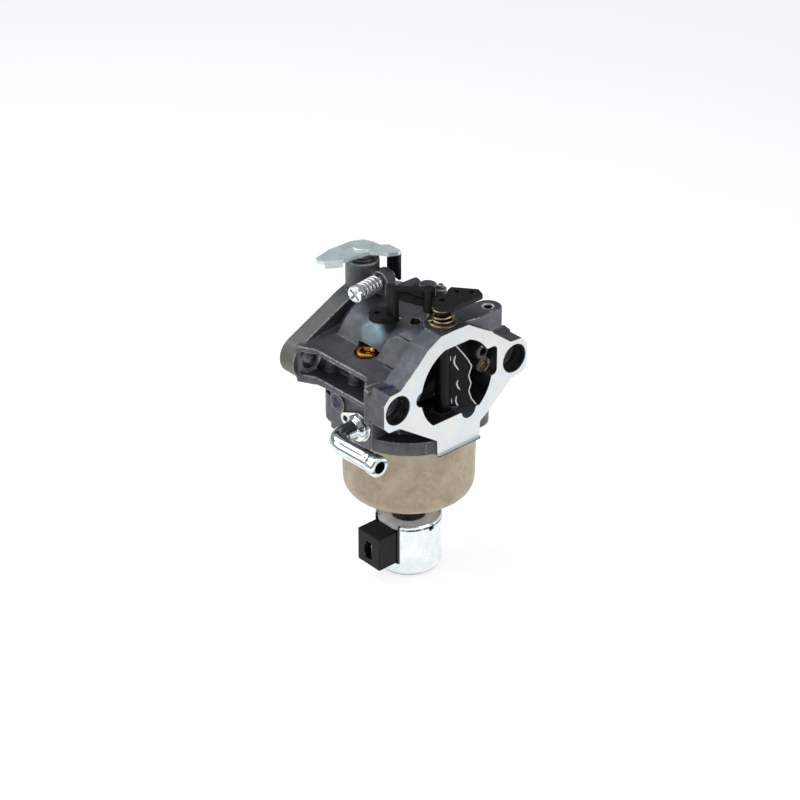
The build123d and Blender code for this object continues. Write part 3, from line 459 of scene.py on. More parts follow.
# ---- mesh tools
def rounded(points, radius, steps=5):
    """An outline of 2-D points with its corners rounded. A point may give a radius of its own."""
    made = []
    count = len(points)
    for i, point in enumerate(points):
        here = Vector(point[:2])
        before = Vector(points[i - 1][:2]) - here
        after = Vector(points[(i + 1) % count][:2]) - here
        size = point[2] if len(point) > 2 else radius
        if size <= 0 or before.length < 1e-6 or after.length < 1e-6:
            made.append(tuple(here))
            continue
        turn = before.angle(after)
        reach = min(size / tan(turn / 2), before.length * 0.49, after.length * 0.49)
        start = here + before.normalized() * reach
        end = here + after.normalized() * reach
        for step in range(steps + 1):
            share = step / steps
            made.append(tuple(start.lerp(here, share).lerp(here.lerp(end, share), share)))
    return made


def basis(origin, axis, side=None):
    """A matrix whose Z is the axis and whose X is as near to side as it can be."""
    z = Vector(axis).normalized()
    side = Vector(side) if side else (Vector((1, 0, 0)) if abs(z.x) < 0.9 else Vector((0, 1, 0)))
    x = (side - z * side.dot(z)).normalized()
    y = z.cross(x)
    turn = Matrix((x, y, z)).transposed().to_4x4()
    return Matrix.Translation(Vector(origin) * MM) @ turn @ Matrix.Scale(MM, 4)


def lathe(bm, outline, origin, axis=UP, segments=96):
    """Turn a closed outline of radius and height about an axis."""
    place = basis(origin, axis)
    hoops = []
    for radius, height in outline:
        if radius < 1e-5:
            hoops.append([bm.verts.new(place @ Vector((0, 0, height)))])
            continue
        hoops.append([bm.verts.new(place @ Vector((radius * cos(2 * pi * i / segments),
                                                   radius * sin(2 * pi * i / segments), height)))
                      for i in range(segments)])
    for low, high in zip(hoops, hoops[1:] + hoops[:1]):
        if len(low) == 1 and len(high) == 1:
            continue
        for i in range(segments):
            j = (i + 1) % segments
            if len(low) == 1:
                bm.faces.new((low[0], high[j], high[i]))
            elif len(high) == 1:
                bm.faces.new((low[i], low[j], high[0]))
            else:
                bm.faces.new((low[i], low[j], high[j], high[i]))
    return bm


def prism(bm, outline, place, depth):
    """A plate from an outline in a plane, going depth along the plane's Z."""
    low = [bm.verts.new(place @ Vector((x, y, 0))) for x, y in outline]
    high = [bm.verts.new(place @ Vector((x, y, depth))) for x, y in outline]
    count = len(outline)
    bm.faces.new(low[::-1])
    bm.faces.new(high)
    for i in range(count):
        j = (i + 1) % count
        bm.faces.new((low[i], low[j], high[j], high[i]))
    return bm


def box(bm, low, high):
    """A box between two corners."""
    outline = [(low[0], low[1]), (high[0], low[1]), (high[0], high[1]), (low[0], high[1])]
    return prism(bm, outline, basis((0, 0, low[2]), UP, (1, 0, 0)), high[2] - low[2])


def pipe(bm, path, radii, bore=None, segments=24):
    """A round wire or tube along points in millimetres, with a radius at each."""
    path = [Vector(point) for point in path]
    if isinstance(radii, (int, float)):
        radii = [radii] * len(path)
    side = None
    outer, inner = [], []
    for i, point in enumerate(path):
        ahead = (path[min(i + 1, len(path) - 1)] - path[max(i - 1, 0)]).normalized()
        if side is None:
            side = ahead.orthogonal()
        side = (side - ahead * side.dot(ahead)).normalized()
        across = ahead.cross(side)
        for hoop, size in ((outer, radii[i]), (inner, bore)):
            if size:
                hoop.append([bm.verts.new((point + (side * cos(2 * pi * k / segments)
                                                    + across * sin(2 * pi * k / segments)) * size) * MM)
                             for k in range(segments)])
    loops = outer + (inner[::-1] if inner else [])
    pairs = list(zip(loops, loops[1:]))
    if inner:
        pairs.append((loops[-1], loops[0]))
    for low, high in pairs:
        for k in range(segments):
            j = (k + 1) % segments
            bm.faces.new((low[k], low[j], high[j], high[k]))
    if not inner:
        bm.faces.new(outer[0][::-1])
        bm.faces.new(outer[-1])
    return bm


def ball(bm, centre, radius):
    """A smooth ball."""
    place = Matrix.Translation(Vector(centre) * MM)
    bmesh.ops.create_uvsphere(bm, u_segments=32, v_segments=20, radius=radius * MM, matrix=place)
    return bm


def cad_copy(node):
    """A bmesh of a CAD node's solid, with its seams closed."""
    bm = bmesh.new()
    bm.from_mesh(nodes[node].data)
    bmesh.ops.remove_doubles(bm, verts=bm.verts, dist=1e-6)
    return bm


def as_object(name, bm, materials):
    """An object from a bmesh, shaded smooth."""
    bmesh.ops.recalc_face_normals(bm, faces=bm.faces)
    mesh = bpy.data.meshes.new(name)
    bm.to_mesh(mesh)
    bm.free()
    piece = bpy.data.objects.new(name, mesh)
    bpy.context.scene.collection.objects.link(piece)
    for material in materials:
        mesh.materials.append(material)
    mesh.shade_smooth()
    return piece


def apply_modifiers(piece):
    """Replace a piece's mesh by what its modifiers make of it."""
    bpy.context.view_layer.update()
    graph = bpy.context.evaluated_depsgraph_get()
    made = bpy.data.meshes.new_from_object(piece.evaluated_get(graph))
    old = piece.data
    piece.modifiers.clear()
    piece.data = made
    bpy.data.meshes.remove(old)
    return piece


def sharpen(piece, angle=35):
    """Keep edges sharper than an angle crisp, and smooth the rest."""
    piece.data.shade_smooth()
    piece.data.set_sharp_from_angle(angle=radians(angle))
    return piece


def cut(piece, cutter_bm, material, operation="DIFFERENCE"):
    """Machine a piece with a cutter, whose faces bring their own material."""
    cutter = as_object("cutter", cutter_bm, [material])
    tool = piece.modifiers.new("cut", "BOOLEAN")
    tool.operation = operation
    tool.solver = "MANIFOLD"
    tool.material_mode = "TRANSFER"
    tool.object = cutter
    apply_modifiers(piece)
    bpy.data.objects.remove(cutter)
    return piece


def drill(piece, material, steps, origin, axis=UP, segments=96, operation="DIFFERENCE"):
    """Machine a piece with a turned cutter, from the radius and height of each of its steps."""
    outline = [(0, steps[0][1]), *steps, (0, steps[-1][1])]
    return cut(piece, lathe(bmesh.new(), outline, origin, axis, segments), material, operation)


def add_beads(piece, beads, segments, angle, index=0):
    """Lay round beads on a piece, each from a route and its radii, in one of the piece's materials."""
    bm = bmesh.new()
    bm.from_mesh(piece.data)
    own_faces = len(bm.faces)
    for route, radii in beads:
        pipe(bm, route, radii, segments=segments)
    bm.faces.ensure_lookup_table()
    for face in bm.faces[own_faces:]:
        face.material_index = index
    bm.to_mesh(piece.data)
    bm.free()
    return sharpen(piece, angle)


def tapered(route, radius, run):
    """A bead's radii along a route, shrinking over so many points at both ends."""
    return [radius * min(1.0, (i + 1) / run, (len(route) - i) / run) for i in range(len(route))]


def ease(piece, width, segments=3, angle=32):
    """Round a piece's sharp edges by a small width."""
    tool = piece.modifiers.new("ease", "BEVEL")
    tool.width = width * MM
    tool.segments = segments
    tool.limit_method = "ANGLE"
    tool.angle_limit = radians(angle)
    tool.harden_normals = False
    even = piece.modifiers.new("even", "WEIGHTED_NORMAL")
    even.keep_sharp = True
    apply_modifiers(piece)
    return piece


def place(piece, body, replaced=(), slot=None):
    """Give a piece its body and hide the CAD nodes that it stands for. The slot is not used."""
    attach(piece, body)
    if replaced:
        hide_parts(*replaced)
    return piece


def eased_copy(node, name, body, material, slot, width=0.15, segments=3):
    """A CAD node's own shape with its edges eased."""
    bm = cad_copy(node)
    bmesh.ops.dissolve_limit(bm, angle_limit=radians(0.6), verts=bm.verts, edges=bm.edges)
    piece = as_object(name, bm, [material])
    ease(piece, width, segments)
    return place(piece, body, [node], slot)


def turned(node, name, body, material, slot, outline, centre, radius=0.25, steps=5, segments=96, angle=50):
    """A CAD node turned afresh about its upright axis, with its corners rounded."""
    soft = rounded(outline, radius, steps)
    piece = as_object(name, lathe(bmesh.new(), soft, (*centre, 0), UP, segments), [material])
    sharpen(piece, angle)
    return place(piece, body, [node], slot)


def finish_node(node, material):
    """Give a CAD node that stays its material."""
    mesh = nodes[node].data
    if not mesh.materials:
        mesh.materials.append(material)
    for i in range(len(mesh.materials)):
        mesh.materials[i] = material


# ---- the casting
STOCK = 0.8              # machining allowance on the faces that are cut flat
SEAM_LAP = 0.3           # how far the stud sides reach into the body under the skin
GRAIN = 0.36             # voxel size that the cast skin is remeshed at
SKIN_KEPT = 0.42         # share of the skin's faces that is kept
POCKET_FLOOR = 7.0          # depth of the pocket round the right air jet


def grow(bm, normal, level):
    """Add machining stock to the faces that lie in a plane."""
    bm.normal_update()
    moved = set()
    for face in bm.faces:
        if face.normal.dot(normal) > 0.999:
            height = face.calc_center_median().dot(normal) / MM
            if abs(height - level) < 0.02:
                moved.update(face.verts)
    for vert in moved:
        vert.co += normal * STOCK * MM


def cast_details(bm):
    """Small cast marks that the die leaves, joined to the skin when it is remeshed."""
    # Beads down the cover ring, where the die's parts meet
    for degrees in (242, 130, 40):
        turn = radians(degrees)
        x, y = BOWL_X + 27.4 * cos(turn), BOWL_Y + 27.4 * sin(turn)
        pipe(bm, [(x, y, RING_BOTTOM + 0.4), (x, y, RING_BOTTOM + 4.8)], 0.5, segments=12)
    # Bosses and a blob inside the left recess, and a step on the roof under the relay's arm
    pipe(bm, [(-22.4, -27.5, -5), (-22.4, -27.5, 6.4)], 3.4, segments=40)
    pipe(bm, [(-22.2, -13.5, -5), (-22.2, -13.5, 6.4)], 3.8, segments=40)
    ball(bm, (-23.2, -35.5, 1.0), 1.1)
    box(bm, (-4.4, -37.8, 17), (0.6, -28.4, 21.4))
    # Ejector pin marks on the shelves beside the barrel
    for side in (-1, 1):
        pipe(bm, [(side * 27, -20, -8.6), (side * 27, -20, -7.4)], 1.9, segments=32)
    # Fillet bead where the barrel's shoulder meets the screw lug's post
    pipe(bm, [(3.6, -19.6, 16), (3.6, -19.6, 24.5)], 0.9, segments=16)


def choke_mouth(depth):
    """The choke bore's outline: a circle with a flat roof and floor."""
    top = acos(CHOKE_ROOF / CHOKE_BORE_R)
    low = acos(-CHOKE_FLOOR / CHOKE_BORE_R)
    outline = []
    for start, end in ((-pi / 2 + low, pi / 2 - top), (pi / 2 + top, 3 * pi / 2 - low)):
        for step in range(33):
            turn = start + (end - start) * step / 32
            outline.append((CHOKE_BORE_R * cos(turn), CHOKE_BORE_R * sin(turn)))
    return prism(bmesh.new(), outline, inlet_plane(depth), depth + 3)


def inlet_plane(depth, x=0.0, z=0.0):
    """A plane so deep behind the inlet face, looking out: it reads as X and Z."""
    return basis((x, INLET_Y + depth, z), TO_INLET, (1, 0, 0))


def blank():
    """The casting before machining: the body and its stud sides under one soft skin."""
    bm = cad_copy("main_body")
    for node, inward in (("stud_side_left", 1), ("stud_side_right", -1)):
        side = cad_copy(node)
        low, high = corners(node)
        seam = high.x if inward > 0 else low.x
        for vert in side.verts:
            if abs(vert.co.x / MM - seam) < 0.01:
                vert.co.x += inward * SEAM_LAP * MM
        joined = bpy.data.meshes.new(node)
        side.to_mesh(joined)
        side.free()
        bm.from_mesh(joined)
    grow(bm, TO_ENGINE, ENGINE_Y)
    grow(bm, TO_INLET, -INLET_Y)
    grow(bm, DOWN, -RING_BOTTOM)
    cast_details(bm)
    piece = as_object("casting", bm, [CAST])
    skin = piece.modifiers.new("skin", "REMESH")
    skin.mode = "VOXEL"
    skin.voxel_size = GRAIN * MM
    soften = piece.modifiers.new("soften", "SMOOTH")
    soften.factor = 0.5
    soften.iterations = 7
    piece.modifiers.new("thin", "DECIMATE").ratio = SKIN_KEPT
    return apply_modifiers(piece)


def mill_faces(piece):
    """Cut both flanges and the seat of the bowl's rim flat."""
    faces = bmesh.new()
    box(faces, (-60, ENGINE_Y, -60), (60, ENGINE_Y + 5, 60))
    box(faces, (-60, INLET_Y - 5, -60), (60, INLET_Y, 60))
    lathe(faces, [(23.6, RING_BOTTOM), (31, RING_BOTTOM), (31, RING_BOTTOM - 3), (23.6, RING_BOTTOM - 3)],
          (BOWL_X, BOWL_Y, 0))
    cut(piece, faces, FACED)
    # The lug's post stands a little behind the milled inlet face
    post = [(6.2, 30), (6.2, 23.5), (17.2, 16.7), (28.2, 8.2), (31, 8.2), (31, 30)]
    cut(piece, prism(bmesh.new(), rounded(post, 0.3), inlet_plane(0.8), 4), SAWN)


def bore_passages(piece):
    """Cut the air's way through, and the pockets and bosses of the two air jets."""
    drill(piece, PASSAGE, [(13, 3), (13, -17), (11, -28), (11, -33), (11.5, -39), (13.4, -44)],
          (0, 0, 0), TO_ENGINE, 128)
    cut(piece, choke_mouth(16.5), PASSAGE)
    # The right pocket leaves a round boss standing for the jet and another for the port
    hollow = rounded([(-3.6, -6.3), (3.6, -6.3), (3.6, 6.3), (-3.6, 6.3)], 2.4)
    pocket = as_object("pocket", prism(bmesh.new(), hollow, inlet_plane(POCKET_FLOOR, 17.2, 3.2), 10), [POCKET])
    for x, z, radius in ((AIR_JET_X, 0, 3.4), (PORT_X, PORT_Z, 3.0)):
        drill(pocket, BOSS, [(radius, -1), (radius, 2.7), (radius - 0.3, 3)],
              (x, INLET_Y + POCKET_FLOOR, z), TO_INLET)
    shape = bmesh.new()
    shape.from_mesh(pocket.data)
    bpy.data.objects.remove(pocket)
    cut(piece, shape, PASSAGE)
    drill(piece, PASSAGE, [(3.2, -4), (3.2, 3)], (-AIR_JET_X, INLET_Y, 0), TO_INLET)
    bosses = ((-AIR_JET_X, 0, 3.3), (AIR_JET_X, 0, 3.3), (PORT_X, PORT_Z, 3.1))
    for x, z, radius in bosses:
        drill(piece, BOSS, [(radius, -10.5), (radius, -4.4), (radius - 0.4, -4)],
              (x, INLET_Y, z), TO_INLET, operation="UNION")
    for x, z, _ in bosses:
        drill(piece, PASSAGE, [(1.6, -12), (1.6, -2)], (x, INLET_Y, z), TO_INLET, 48)
    drill(piece, SCOOP, [(2.4, -9), (3.6, -7), (3.6, 0), (3.9, 0.6), (3.9, 2)],
          (SCOOP_X, INLET_Y, CHOKE_FLOOR), TO_INLET)


def drill_studs(piece):
    """Drill the stud holes: spotfaced and plain at the engine, counterbored at the inlet."""
    for x in (-STUD_X, STUD_X):
        drill(piece, FACED, [(5.1, 8.3), (5.1, 9.6)], (x, ENGINE_Y, 0), TO_INLET)
        drill(piece, BORED, [(3.9, -3), (3.9, 0), (STUD_R, 0.4), (STUD_R, 14)], (x, ENGINE_Y, 0), TO_INLET)
        drill(piece, BORED, [(STUD_R, -20), (STUD_R, -7.4), (4.4, -6.6), (4.4, -4.6), (5.4, -4.2), (5.8, -3.8),
                             (5.8, -0.3), (6.05, 0), (6.05, 3)], (x, INLET_Y, 0), TO_INLET)


def drill_top(piece):
    """Bore the seats of the two shafts' bushings, then drill the small holes in the top."""
    throttle_axis = (THROTTLE_X, THROTTLE_Y, 0)
    top = TOWER_TOP
    drill(piece, BORED, [(3.05, -24), (3.05, top - 7), (4.6, top - 7), (4.6, top + 1.2), (5.0, top + 1.6),
                         (9, top + 1.6), (9, top + 5)], throttle_axis)
    drill(piece, BORED, [(3.05, -19), (3.05, 18.8), (4.4, 18.8), (4.4, CHOKE_SEAT), (6.6, CHOKE_SEAT), (6.6, 29)],
          (CHOKE_X, CHOKE_Y, 0))
    drill(piece, BORED, [(4, -28), (4, -23)], throttle_axis)
    # The lug's thread, the idle jet's spotface and the ball plug's drilling
    lug_axis = (LUG_X, LUG_Y, 0)
    drill(piece, FACED, [(2.5, LUG_TOP - 0.3), (2.5, LUG_TOP + 2)], lug_axis)
    drill(piece, BORED, [(1.65, 12), (1.65, LUG_TOP - 0.3), (1.95, LUG_TOP), (1.95, LUG_TOP + 2)], lug_axis, UP, 48)
    drill(piece, CAST, [(2.6, 0), (2.6, JET_SEAT), (5.0, JET_SEAT), (5.2, JET_SEAT + 1.2), (6.4, JET_SEAT + 3.4)],
          (JET_X, JET_Y, 0), UP, 64)
    drill(piece, BORED, [(1.85, 15.8), (1.85, 18.1), (2.3, 18.5), (2.3, 22)], (*axis_of("ball_plug"), 0), UP, 48)


def casting():
    """The carburetor's body: a soft cast skin, then every face and bore cut crisp."""
    piece = blank()
    mill_faces(piece)
    bore_passages(piece)
    drill_studs(piece)
    drill_top(piece)
    sharpen(piece, 38)
    return place(piece, "carburetor", ["main_body", "stud_side_left", "stud_side_right"], "cast_aluminium")


# ---- float chamber
def bowl():
    """The drawn steel bowl: a rolled rim, a straight wall and a soft bottom corner."""
    low = bowl_low.z
    outline = [(BOWL_R - 0.5, RING_BOTTOM), (BOWL_R, RING_BOTTOM - 0.6, 0.5), (BOWL_R - 0.4, low, 6.2),
               (14.5, low, 1.0), (13.9, low + 0.35, 0.6), (8.4, low + 0.35, 0.6), (7.9, low, 0.6),
               (5.05, low), (5.05, low + 1), (BOWL_R - 1.4, low + 1.3, 5.2), (BOWL_R - 1.0, RING_BOTTOM)]
    return turned("float_bowl", "bowl", "carburetor", COATING, "bowl_coating", outline, (BOWL_X, BOWL_Y), 0, 10, 160)


# ---- fuel inlet
TUBE_R, TUBE_BORE = 3.75, 2.45
TUBE_ROUTE = [Vector(point) for point in ((-20.4, BOWL_Y - 3.6, -18.4), (-43.0, BOWL_Y - 3.6, -18.4),
                                          (-40.4, BOWL_Y - 21.1, -20.1), (-40.4, BOWL_Y - 29.1, -20.1))]


def bent(route, radius, step=0.35):
    """Closely spaced points along a route whose corners are rounded."""
    points = [route[0]]
    for before, here, after in zip(route, route[1:], route[2:]):
        back, ahead = (before - here).normalized(), (after - here).normalized()
        reach = min(radius / tan(back.angle(ahead) / 2), (before - here).length * 0.45, (after - here).length * 0.45)
        start, end = here + back * reach, here + ahead * reach
        points += [start.lerp(here, i / 16).lerp(here.lerp(end, i / 16), i / 16) for i in range(17)]
    points.append(route[-1])
    close = []
    for here, after in zip(points, points[1:]):
        count = max(1, round((after - here).length / step))
        close += [here.lerp(after, i / count) for i in range(count)]
    return close + [points[-1]]


def profile(distance, marks):
    """A radius read off a list of distances and radii."""
    for (start, first), (end, last) in zip(marks, marks[1:]):
        if distance <= end:
            return first + (last - first) * max(0.0, (distance - start) / (end - start))
    return marks[-1][1]


def fuel_tube():
    """The plated fuel elbow: a fat root collar, a bend, a waist and a rolled mouth."""
    path = bent(TUBE_ROUTE, 7.5)
    mouth = [(0.0, 3.7), (0.3, 4.15), (0.9, 4.25), (3.6, 4.15), (4.3, 4.05), (4.9, 3.6), (5.6, 3.6), (6.6, TUBE_R)]
    collar = [(8.5, TUBE_R), (8.9, 5.0), (9.5, 5.5), (10.2, 5.4), (10.9, 4.6), (11.5, 3.9), (12.2, TUBE_R)]
    radii = []
    for point in path:
        from_mouth = (point - path[-1]).length
        from_root = (point - path[0]).length
        radii.append(profile(from_mouth, mouth) if from_mouth < 7 else profile(from_root, collar))
    piece = as_object("fuel_elbow", pipe(bmesh.new(), path, radii, TUBE_BORE, 64), [TUBE_ZINC])
    sharpen(piece, 60)
    return place(piece, "carburetor", ["fuel_inlet_tube"], "bright_zinc")


# ---- jets and plugs
def jet(name, node, origin, axis, outline, slot_width, slot_depth, material, slot):
    """A turned jet with a screwdriver slot across its head."""
    piece = as_object(name, lathe(bmesh.new(), outline, origin, axis, 64), [material])
    top = max(height for radius, height in outline)
    groove = bmesh.new()
    plane = basis(Vector(origin) + Vector(axis) * (top - slot_depth), axis)
    wide = max(radius for radius, height in outline) + 1
    prism(groove, [(-wide, -slot_width), (wide, -slot_width), (wide, slot_width), (-wide, slot_width)], plane, 4)
    cut(piece, groove, material)
    sharpen(piece, 35)
    return place(piece, "carburetor", [node], slot)


def idle_jet():
    """The amber idle jet: a domed rim round a deep socket."""
    low, high = corners("idle_jet")
    top = high.z
    outline = [(0, low.z), (2.6, low.z), (2.6, JET_SEAT), (4.4, JET_SEAT), (4.4, top - 0.9), (4.15, top - 0.25),
               (3.6, top), (2.9, top - 0.05), (2.5, top - 0.4), (2.2, top - 1.5), (0.9, top - 1.6), (0.7, top - 3.0),
               (0, top - 3.0)]
    piece = as_object("idle_jet_turned", lathe(bmesh.new(), outline, (JET_X, JET_Y, 0), UP, 72), [AMBER])
    ease(piece, 0.12, 2, 40)
    return place(piece, "carburetor", ["idle_jet"], "amber_brass")


def air_jets():
    """The two air jets beside the choke plate, sunk in their bosses."""
    shape = [(0, -9), (1.6, -9), (1.6, -4.8), (2.1, -4.6), (2.1, -4.15), (1.9, -4.0), (0.8, -4.0), (0.55, -4.3),
             (0.55, -6), (0, -6)]
    for side, x, material, slot in (("right", AIR_JET_X, COPPER, "copper_brass"), ("left", -AIR_JET_X, BRASS, "brass")):
        node = "air_jet_" + side
        jet(node + "_turned", node, (x, INLET_Y, 0), TO_INLET, shape, 0.28, 0.5, material, slot)


# ---- throttle
def helix(origin, axis, radius, rises, turns, per_turn=32, side=None):
    """Points on a coil whose height follows a list of heights, spread evenly over its turns."""
    plane = basis(origin, axis, side)
    count = int(turns * per_turn)
    points = []
    for i in range(count + 1):
        share = i / count * (len(rises) - 1)
        k = min(int(share), len(rises) - 2)
        height = rises[k] + (rises[k + 1] - rises[k]) * (share - k)
        turn = 2 * pi * turns * i / count
        points.append(plane @ Vector((radius * cos(turn), radius * sin(turn), height)) / MM)
    return points


SCREW_TURN = radians(9.0)
SCREW_WAY = Vector((cos(SCREW_TURN), sin(SCREW_TURN), 0))
SCREW_HEAD = Vector((-15.0, -17.7, 26.7))
THREAD_START, THREAD_END, THREAD_PITCH = 8.0, 22.4, 0.75


def idle_screw():
    """The idle speed screw: a round cross-slotted head, a plain neck and a fine thread."""
    outline = [(0, 0.35), (1.6, 0.2), (2.9, 0.0), (3.3, 0.15), (3.5, 0.6), (3.5, 2.6), (3.3, 3.05), (2.6, 3.2),
               (2.0, 3.2), (1.82, 3.6), (1.82, 22.3), (1.2, 23.0), (0, 23.0)]
    piece = as_object("idle_screw_turned", lathe(bmesh.new(), outline, SCREW_HEAD, SCREW_WAY, 64), [CHROME])
    for degrees in (38, 128):
        side = Vector((0, 0, 1))
        side.rotate(Matrix.Rotation(radians(degrees), 3, SCREW_WAY))
        plane = basis(SCREW_HEAD - SCREW_WAY * 1.0, SCREW_WAY, side)
        groove = prism(bmesh.new(), [(-2.7, -0.5), (2.7, -0.5), (2.7, 0.5), (-2.7, 0.5)], plane, 2.5)
        cut(piece, groove, CHROME)
    turns = (THREAD_END - THREAD_START) / THREAD_PITCH
    ridge = helix(SCREW_HEAD, SCREW_WAY, 1.84, [THREAD_START, THREAD_END], turns, 28)
    add_beads(piece, [(ridge, tapered(ridge, 0.28, 10))], 6, 35)
    return place(piece, "idle_screw", ["idle_screw"], "bright_zinc")


def idle_spring():
    """The spring that holds the idle screw, its ends closed and ground."""
    start, end = 3.85, 13.65
    rises = [start, start + 0.9] + [start + 0.9 + (end - start - 1.8) * i / 8 for i in range(1, 8)] + [end - 0.9, end]
    path = helix(SCREW_HEAD, SCREW_WAY, 2.95, rises, 5.2)
    piece = as_object("idle_spring_wire", pipe(bmesh.new(), path, 0.62, segments=16), [CHROME])
    sharpen(piece, 60)
    return place(piece, "carburetor", ["idle_screw_spring"], "bright_zinc")


def throttle():
    """The pressed throttle lever, its riveted shaft, and the sleeve and bushing under it."""
    lever = eased_copy("throttle_lever", "throttle_lever_pressed", "throttle", LEVER_ZINC, "zinc_plate", 0.28)
    # The hanging tab is coloured dark: painted shade
    lever.data.materials.append(TAB_PAINTED_SHADE)
    for face in lever.data.polygons:
        if face.center.z < (corners("throttle_lever")[1].z - 2.4) * MM and face.center.x > THROTTLE_X * MM:
            face.material_index = 1
    shaft = eased_copy("throttle_shaft", "throttle_shaft_ground", "throttle", STEEL, "steel", 0.18)
    shaft.data.materials.append(LEVER_ZINC)
    for face in shaft.data.polygons:
        if face.center.z > (TOWER_TOP + 2.4) * MM:
            face.material_index = 1
    for node, name, body, slot, inner, outer in (
            ("throttle_spacer", "throttle_sleeve", "throttle", "steel", 3.0, 4.4),
            ("throttle_bushing", "throttle_bush", "carburetor", "bushing_metal", 3.05, 4.6)):
        low, high = corners(node)
        outline = [(inner, low.z), (outer, low.z), (outer, high.z), (inner, high.z)]
        turned(node, name, body, SLEEVE, slot, outline, (THROTTLE_X, THROTTLE_Y))
    eased_copy("throttle_plate", "throttle_disc", "throttle", BRASS, "brass", 0.1, 2)
    eased_copy("throttle_plate_screws", "throttle_disc_screws", "throttle", STEEL, "steel", 0.12, 2)
    eased_copy("throttle_bore_plug", "bore_plug", "carburetor", STEEL, "steel", 0.2, 2)


# ---- choke
CHOKE_TURN = radians(35.0)


def choke_plate():
    """The choke plate with the three curved ridges and small pips that stiffen its free side, and a bead along its free
    edge; ridges, pips and bead are pale as a painted highlight.
    """
    piece = eased_copy("choke_plate", "choke_plate_moulded", "choke", PLATE_BLACK, "black_plastic", 0.22)
    # Painted highlight on the ridges, pips and free edge
    piece.data.materials.append(RIDGE_PAINTED_HIGHLIGHT)
    facing = Vector((-sin(CHOKE_TURN), -cos(CHOKE_TURN), 0))
    plane = basis(Vector((CHOKE_X, CHOKE_Y, 0)) + facing * 0.8, facing, (cos(CHOKE_TURN), -sin(CHOKE_TURN), 0))
    beads = []
    for marks, wire in (([(4.9, 10.0), (4.2, 8.0), (4.4, 6.2), (6.1, 3.4)], 0.34),
                        ([(6.0, -0.9), (5.3, -2.2), (5.8, -4.0), (6.8, -5.4)], 0.34),
                        ([(5.4, -7.8), (5.0, -10.2), (5.5, -11.6), (6.2, -12.5)], 0.34),
                        ([(2.9, 9.9), (2.9, 7.6)], 0.3), ([(3.4, -8.9), (3.6, -11.4)], 0.3),
                        ([(4.6, 14.6), (5.4, 13.5), (7.9, 10.3), (9.7, 7.6), (11.1, 4.9), (10.5, 2.9), (9.9, 0.7),
                          (10.9, -2.6), (10.1, -5.9), (11.0, -9.2), (13.2, -12.4)], 0.24)):
        route = [plane @ Vector((x, z, 0.0)) / MM for x, z in marks]
        if len(route) > 2:
            route = bent(route, 2.0)
        else:
            route = [route[0].lerp(route[1], i / 6) for i in range(7)]
        beads.append((route, tapered(route, wire, 4)))
    return add_beads(piece, beads, 10, 40, 1)


def choke_spring():
    """The golden choke spring, with a leg hooked over towards the relay's post."""
    low, high = corners("choke_spring")
    start, end = low.z + 0.45, high.z - 0.45
    path = helix((CHOKE_X, CHOKE_Y, 0), UP, 3.95, [start, start + 0.25, end - 0.25, end], 4.9, side=(-1, 0.4, 0))
    leg = path[0]
    out = Vector((-0.9, 0.45, 0)).normalized()
    tail = [leg + out * 1.9 + Vector((0, 0, -0.3)), leg + out * 1.2 + Vector((0, 0, -0.15)), leg + out * 0.5]
    piece = as_object("choke_spring_wire", pipe(bmesh.new(), tail + path, 0.42, segments=16), [GOLD_WIRE])
    sharpen(piece, 60)
    return place(piece, "carburetor", ["choke_spring"], "gold_wire")


def choke():
    """Lever, shaft, bushing, spring and plate of the choke."""
    eased_copy("choke_lever", "choke_lever_moulded", "choke", BLACK, "black_plastic", 0.3)
    eased_copy("choke_shaft", "choke_shaft_moulded", "choke", PLATE_BLACK, "black_plastic", 0.15)
    low, high = corners("choke_bushing")
    outline = [(3.05, low.z), (4.4, low.z), (4.4, CHOKE_SEAT), (5.7, CHOKE_SEAT), (5.7, high.z - 0.3), (5.3, high.z),
               (3.05, high.z)]
    turned("choke_bushing", "choke_bush", "carburetor", BUSHING, "bushing_metal", outline, (CHOKE_X, CHOKE_Y))
    choke_plate()
    choke_spring()


def relay():
    """The black relay lever: its post, its ribbed arm and its round paddle."""
    lever = eased_copy("relay_lever", "relay_lever_moulded", "relay", BLACK, "black_plastic", 0.25)
    pin_x, pin_y = axis_of("relay_pivot_pin")
    along = Vector((cos(radians(135)), sin(radians(135)), 0))
    rib = [Vector((pin_x, pin_y, z)) + along * reach
           for reach, z in ((13.2, 31.4), (12.6, 32.8), (10.8, 33.7), (8.6, 33.5), (5.6, 32.2), (2.0, 31.2))]
    return add_beads(lever, [(bent(rib, 3.0), 0.42)], 12, 40)


# ---- shut-off solenoid
WINDOW_HALF = 6.6        # half the width of the can's window


